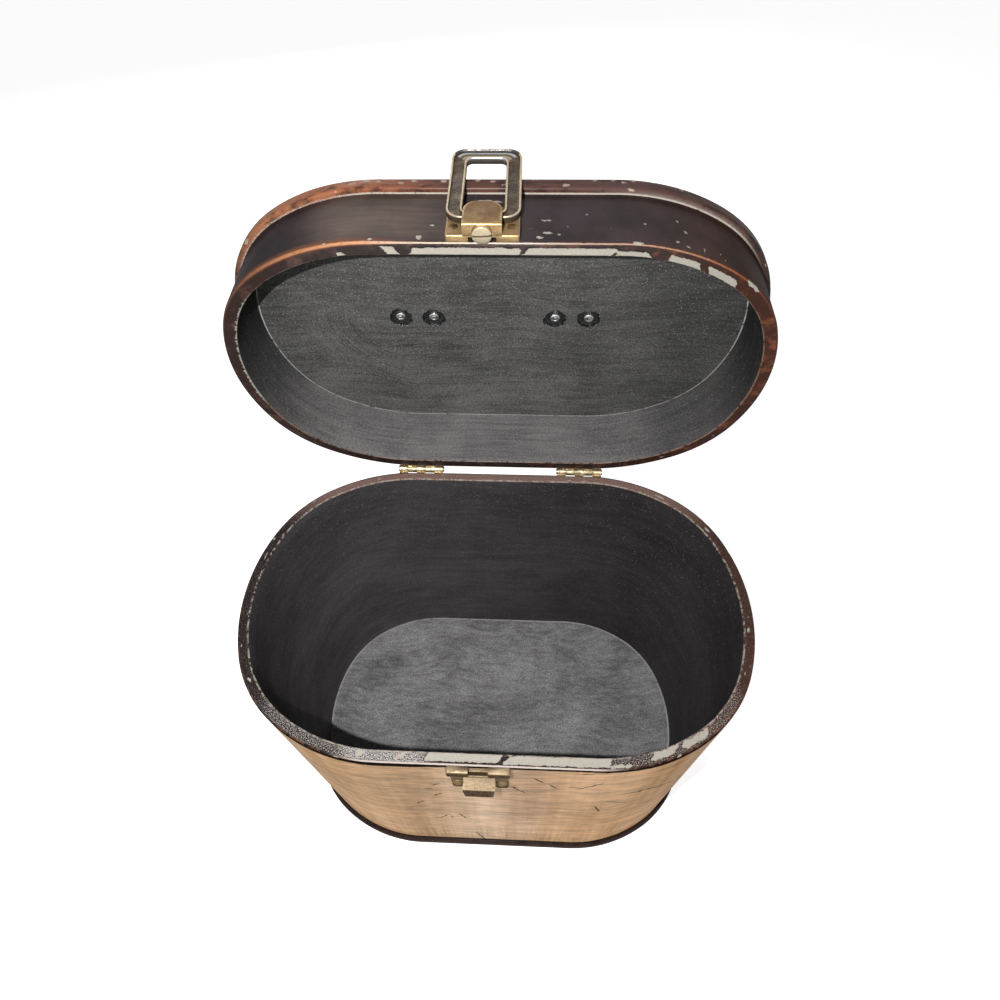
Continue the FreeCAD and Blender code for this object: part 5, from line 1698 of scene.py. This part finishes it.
def ringMesh(info):
    # Lips and a channel in front, a plain back
    edge = info["lip"] / info["side"]
    sunk = 1.0 - info["channel"] / info["thick"]
    crown, foot, polished = (edge * step for step in info["lipSteps"])
    front = info["edge"] + [(crown, 1.0), (edge, info["lipSlope"]), (foot, sunk)]
    front += [(share, sunk) for share in info["channelAt"]]
    section = front + [(1 - share, rise) for share, rise in reversed(front)] + info["back"]
    loops = {share: ringLoop(info, share) for share, rise in section}
    work = bmesh.new()
    notes = {"polish": [], "share": [], "handled": [], "grime": [], "tarnish": []}
    rings = []
    for index in range(len(loops[0.0])):
        outer = Vector(loops[0.0][index])
        inner = Vector(loops[1.0][index])
        # The bar turns into a round rod where it runs behind the tongue
        isRod = inner.y < info["thick"] + 0.01 and abs(outer.x) < info["rodHalf"]
        column = []
        for number, (share, rise) in enumerate(section):
            spot = Vector(loops[share][index])
            out = rise * info["thick"]
            if isRod:
                turn = 2 * math.pi * number / len(section)
                spot = Vector((outer.x, -info["rod"] * math.cos(turn + 0.5)))
                out = info["rod"] * math.sin(turn + 0.5)
            if spot.y > info["bendAt"] - 2:
                swing = math.radians(info["bend"]) * min(1.0, (spot.y - info["bendAt"] + 2) / 4)
                beyond = max(0.0, spot.y - info["bendAt"])
                out, spot.y = (out * math.cos(swing) + beyond * math.sin(swing),
                               spot.y - beyond * (1 - math.cos(swing)) - out * math.sin(swing))
            column.append(work.verts.new(onFront(spot.x, latch["pivotOut"] + out, latch["pivotUp"] + spot.y)))
            onLip = rise > info["lipSlope"] and (share < polished or share > 1 - polished)
            notes["polish"].append(1.0 if onLip and not isRod else 0.0)
            notes["share"].append(share)
            # The rod behind the tongue and the inner corner by it are black: grime with painted shade
            corner = max(0.0, min(1.0, info["grimeBelow"] - spot.y)) if share > info["grimeFrom"] else 0.0
            notes["grime"].append(1.0 if isRod else corner)
            notes["tarnish"].append(info["tarnish"] if share in (0.0, 1.0) else 0.0)
            # Painted reflection bands go on the far bar
            onFarBar = inner.y > info["reach"] - info["farBar"] - info["handledFrom"]
            notes["handled"].append(1.0 if onFarBar and rise > -0.5 else 0.0)
        rings.append(column)
    closeRound(work, rings, [0] * len(section))
    return work, notes


ringWork, ringNotes = ringMesh(ring)
newPiece("latchRing", finishMesh("latchRing", ringWork, lidPlacement, ringNotes), "ring",
         [metalMaterials["ringBronze"]], ["latch_ring"])
print("ring ready")


# Catch on the tub: two pressed ears at the rim, a backing sheet with two tabs and a folded hook
catch = {
    "earHalf": 13.6,
    "earLow": -6.3,
    "earHigh": -0.3,
    "earCorner": 0.9,
    "out": 3.0,
    "notchHalf": 4.2,
    "notchLow": -4.3,
    "backHigh": -5.4,
    "tabHalf": 12.7,
    "tabLow": -34.0,
    "tabRound": 2.5,
    "tabCorner": 0.05,
    "hookHalf": 6.9,
    "hookUp": -14.3,
    "hookOut": 6.4,
    "hookLow": -26.6,
    "hookRound": 2.0,
    "hookFolds": (0.8, 1.1),
    "hookFrom": 0.5,
    "hookTuck": 4.2,
    "screwUp": -23.5,
    "aside": 0.4,
}


def catchMesh(info):
    top = trunk["tubHeight"]
    sheet = latch["sheet"]
    ears = pressedTray(-info["earHalf"], info["earHalf"], top + info["earLow"], top + info["earHigh"], info["out"],
                       sheet, latch["fold"], info["earCorner"])
    gap = info["notchHalf"]
    for side in (-1, 1):
        # An extra edge beside the notch, so that its grime stays inside it
        bmesh.ops.bisect_plane(ears, geom=ears.verts[:] + ears.edges[:] + ears.faces[:], dist=0.001,
                               plane_co=onFront(side * (gap + 0.05), 0, 0), plane_no=(1, 0, 0))
    ears = cut(ears, frontBox(-gap, gap, -1, info["out"] + 1, top + info["notchLow"], top + 1), tidy=False)
    softEdges(ears)
    parts = [ears]
    for side in (-1, 1):
        limits = sorted((side * info["hookHalf"], side * info["tabHalf"]))
        edge = roundedLoop(*limits, top + info["tabLow"], top + info["backHigh"],
                           [info["tabRound"], info["tabCorner"], info["tabCorner"], info["tabRound"]])
        tab = loft([[onFront(x, out, z) for x, z in edge] for out in (0.0, sheet)])
        softEdges(tab)
        parts.append(tab)
    back = frontBox(-info["hookHalf"], info["hookHalf"], 0.0, sheet, top + info["hookUp"] - sheet,
                    top + info["backHigh"])
    softEdges(back)
    parts.append(back)
    low = info["hookLow"]
    upperFold, lowerFold = info["hookFolds"]
    path = foldPath([(info["hookFrom"], top + info["hookUp"]), (info["hookOut"], top + info["hookUp"], upperFold),
                     (info["hookOut"], top + low, lowerFold), (info["hookTuck"], top + low)])
    # The strip narrows to rounded corners just above its tucked end
    tuck = info["hookOut"] - info["hookTuck"]

    def hookWidth(run, total):
        left = total - run
        shrink = info["hookRound"]
        if left > tuck + shrink:
            return info["hookHalf"]
        if left < tuck:
            return info["hookHalf"] - shrink
        drop = shrink - (left - tuck)
        return info["hookHalf"] - shrink + math.sqrt(max(0.0, shrink ** 2 - drop ** 2))

    hook = foldedStrip(path, hookWidth, -sheet)
    softEdges(hook)
    parts.append(hook)
    whole = joinWork(parts)
    whole.transform(Matrix.Translation((info["aside"], 0, 0)))
    return whole


def catchTarnishAndShade(spot, normal):
    # The tabs and the faces that look to the front are darkened, partly tarnish and partly painted shade; the recess
    # between the ears is black, partly grime and partly painted shadow
    across = spot.x - latch["middle"] - catch["aside"]
    out, up = -halfDepth - spot.y, spot.z - trunk["tubHeight"]
    recess = abs(across) <= catch["notchHalf"] + 0.1 and out < catch["out"] - 0.7 and up > catch["hookUp"] + 1
    flat = out < latch["sheet"] + 0.05 and up < catch["earLow"] and abs(up - catch["hookUp"]) > 1.3
    return (1.0 if flat else max(0.0, min(1.0, (-normal.y - 0.6) * 4))), 1.0 if recess else 0.0


metalPiece("catchPlate", catchMesh(catch), tubPlacement, "tub", "catchBrass", ["catch_plate"],
           catchTarnishAndShade)
catchScrew = {"radius": 2.5, "dome": 1.4, "side": 0.12, "shank": 1.05, "length": 4.6, "slot": 0.8,
              "slotDepth": 0.6}
catchScrews = []
for side, turn in ((-1, 12), (1, -24)):
    spot = onFront(side * (catch["tabHalf"] + catch["hookHalf"]) / 2 + catch["aside"], latch["sheet"],
                   trunk["tubHeight"] + catch["screwUp"])
    catchScrews.append(({**catchScrew, "turn": turn}, facing(spot, (0, -1, 0))))
metalPiece("catchScrews", joinWork([slottedScrew(*screw) for screw in catchScrews]), tubPlacement, "tub",
           "agedBrass", ["catch_screws"], slotShadeAndTarnish(catchScrews, 0.6))
print("catch ready")


# Handle on the lid's top: a drop bail between two bolted brackets
handle = {
    "across": -2.5,
    "set": panel["boltSet"],
    "top": trunk["lidTop"],
    "span": 38.0,
    "footHalf": 12.5,
    "footWide": 5.5,
    "footThick": 1.4,
    "footRound": 5.0,
    "footSides": [(0.0, 0.0), (0.0, 0.9), (0.15, 1.2), (0.5, 1.4)],
    "postHalf": 3.25,
    "postWide": 3.5,
    "postWaist": 2.6,
    "postSunk": 0.2,
    "postSpread": 0.8,
    "postNeck": 0.1,
    "postEdge": 0.35,
    "eye": (-20, 200),
    "pivot": 7.0,
    "pin": 1.76,
    "pinEnd": 1.68,
    "arm": 43.65,
    "elbow": 1.4,
    "elbowFrom": 2.6,
    "elbowStart": 1.5,
    "legs": (6.0, 14.0),
    "drop": 30.0,
    "corner": 9.0,
    "rod": 2.0,
    "grip": 3.4,
    "gripEnd": 2.75,
    "gripHalf": 23.0,
    # Collars of the grip: how far in from its end, and radius
    "collar": [(0.05, 2.9), (0.6, 3.15), (1.8, 3.15), (2.3, 2.7), (2.8, 2.75)],
}


def bracketMesh(info, side):
    def spot(x, y, z):
        return Vector((info["across"] + side * info["span"] + x, info["set"] + y, info["top"] + z))

    rows = []
    for inset, rise in info["footSides"]:
        outlineLoop = roundedLoop(-info["footHalf"] + inset, info["footHalf"] - inset, -info["footWide"] + inset,
                                  info["footWide"] - inset, [info["footRound"] - inset] * 4, 8)
        rows.append([spot(x, y, rise) for x, y in outlineLoop])
    foot = loft(rows)
    # The post is waisted above the foot and turns into a round eye
    wide, half, edge = info["postWide"], info["postHalf"], info["postEdge"]
    low = info["footThick"] - info["postSunk"]
    section = []
    for turn in turns(*info["eye"], 24):
        section.append((wide * math.cos(turn), info["pivot"] + wide * math.sin(turn)))
    section = [(wide + info["postSpread"], low), (wide - info["postNeck"], info["postWaist"])] + section
    section += [(-wide + info["postNeck"], info["postWaist"]), (-wide - info["postSpread"], low)]
    centre = Vector((0.0, info["pivot"]))
    loops = []
    for x, shrink in ((-half, edge), (-half + edge, 0.0), (half - edge, 0.0), (half, edge)):
        loop = []
        for y, z in section:
            toward = centre - Vector((y, z))
            away = toward.normalized() * shrink if toward.length > 1 else Vector((0, 0))
            loop.append(spot(x, y + away.x, max(z + away.y, low)))
        loops.append(loop)
    post = loft(loops)
    beyond = 6
    hole = turned([(nearAxis, -beyond), (info["pin"], -beyond), (info["pin"], beyond), (nearAxis, beyond)],
                  facing(spot(0, 0, info["pivot"]), (1, 0, 0)), 28)
    post = cut(post, hole)
    return joinWork([foot, post])


def bailMesh(info):
    # One rod from pin to pin, with rounded corners and a swollen grip with end collars
    pinEnd = info["span"] - info["postHalf"] - 0.1
    arm, drop, corner, rod, elbow = info["arm"], info["drop"], info["corner"], info["rod"], info["elbow"]
    path = [((pinEnd, 0.0), info["pinEnd"]), ((arm - info["elbowFrom"], 0.0), info["pinEnd"])]
    for turn in turns(0, 90, 6):
        path.append(((arm - elbow + elbow * math.sin(turn), -elbow + elbow * math.cos(turn)), rod))
    path[2] = ((arm - info["elbowStart"], 0.0), rod)
    path += [((arm, -down), rod) for down in info["legs"]]
    for turn in turns(0, 90, 10):
        path.append(((arm - corner + corner * math.cos(turn), -drop + corner - corner * math.sin(turn)), rod))
    gripHalf, thin = info["gripHalf"], info["gripEnd"]
    path += [((gripHalf + 1.6, -drop), rod), ((gripHalf, -drop), rod)]
    path += [((gripHalf - inward, -drop), radius) for inward, radius in info["collar"]]
    collarEnd = info["collar"][-1][0]
    for step in range(1, 12):
        x = (gripHalf - collarEnd) * (1 - step / 12)
        path.append(((x, -drop), thin + (info["grip"] - thin) * math.sin(math.pi / 2 * step / 12)))
    mirrored = [((-x, z), radius) for (x, z), radius in path]
    whole = mirrored + [((0.0, -drop), info["grip"])] + path[::-1]
    loops = []
    spots = [Vector((x, 0, z)) for (x, z), radius in whole]
    swing = Matrix.Rotation(math.radians(trunk["openAngle"]), 4, "X")
    base = Vector((info["across"], info["set"], info["top"] + info["pivot"]))
    for index, ((x, z), radius) in enumerate(whole):
        before, after = spots[max(index - 1, 0)], spots[min(index + 1, len(spots) - 1)]
        direction = (after - before).normalized()
        side = Vector((0, 1, 0))
        up = direction.cross(side)
        loop = []
        for step in range(20):
            turn = 2 * math.pi * step / 20
            loop.append(base + swing @ (spots[index] + radius * (math.cos(turn) * side + math.sin(turn) * up)))
        loops.append(loop)
    return loft(loops)


for word, side in (("left", -1), ("right", 1)):
    metalPiece("handleBracket_" + word, bracketMesh(handle, side), lidPlacement, "lid",
               "handleBronze", ["handle_bracket_" + word])
metalPiece("handleBail", bailMesh(handle), lidPlacement, "handle", "handleBronze", ["handle_bail"])
bolt = {"radius": 2.8, "dome": 1.5, "side": 0.12, "shank": 1.18, "length": 5.2, "slot": 0.9, "slotDepth": 0.7}
slotTurns = (90, 125, 160, 195)
nut = {"radius": 2.4, "height": 1.3, "bore": 1.2, "seat": 34.95}
wide, tall, bore = nut["radius"], nut["height"], nut["bore"]
nutProfile = [(bore, 0.0), (wide, 0.0), (wide, tall - 0.45), (wide - 0.2, tall - 0.15), (wide - 0.55, tall),
              (bore + 0.25, tall), (bore, tall - 0.2)]
bolts, nutWorks = [], []
for x, turn in zip(panel["bolts"], slotTurns):
    head = Vector((x, handle["set"], handle["top"] + handle["footThick"]))
    bolts.append(({**bolt, "turn": turn}, facing(head, (0, 0, 1))))
    seat = Vector((x, handle["set"], nut["seat"]))
    nutWorks.append(turned(nutProfile, facing(seat, (0, 0, -1)), 24, capped=False))
metalPiece("handleBolts", joinWork([slottedScrew(*screw) for screw in bolts]), lidPlacement, "lid",
           "fastenerSteel", ["handle_bolts"], slotShadeAndTarnish(bolts))
metalPiece("handleNuts", joinWork(nutWorks), lidPlacement, "lid", "fastenerSteel",
           ["handle_nuts"])
print("handle ready")

# The solids that keep their own shape get a finish that reads the object's coordinates
keptNodes = {
    "hingeBrass": ["hinge_tub_leaf_left", "hinge_tub_leaf_right", "hinge_lid_leaf_left", "hinge_lid_leaf_right",
                   "hinge_tub_screws", "hinge_lid_screws"],
    "agedBrass": ["latch_plate_screws"],
    "fastenerSteel": ["hinge_pin_left", "hinge_pin_right"],
}
for finishName, nodeNames in keptNodes.items():
    for nodeName in nodeNames:
        node = frame["nodes"][nodeName]
        node.data.materials.clear()
        node.data.materials.append(metalOnCad[finishName])
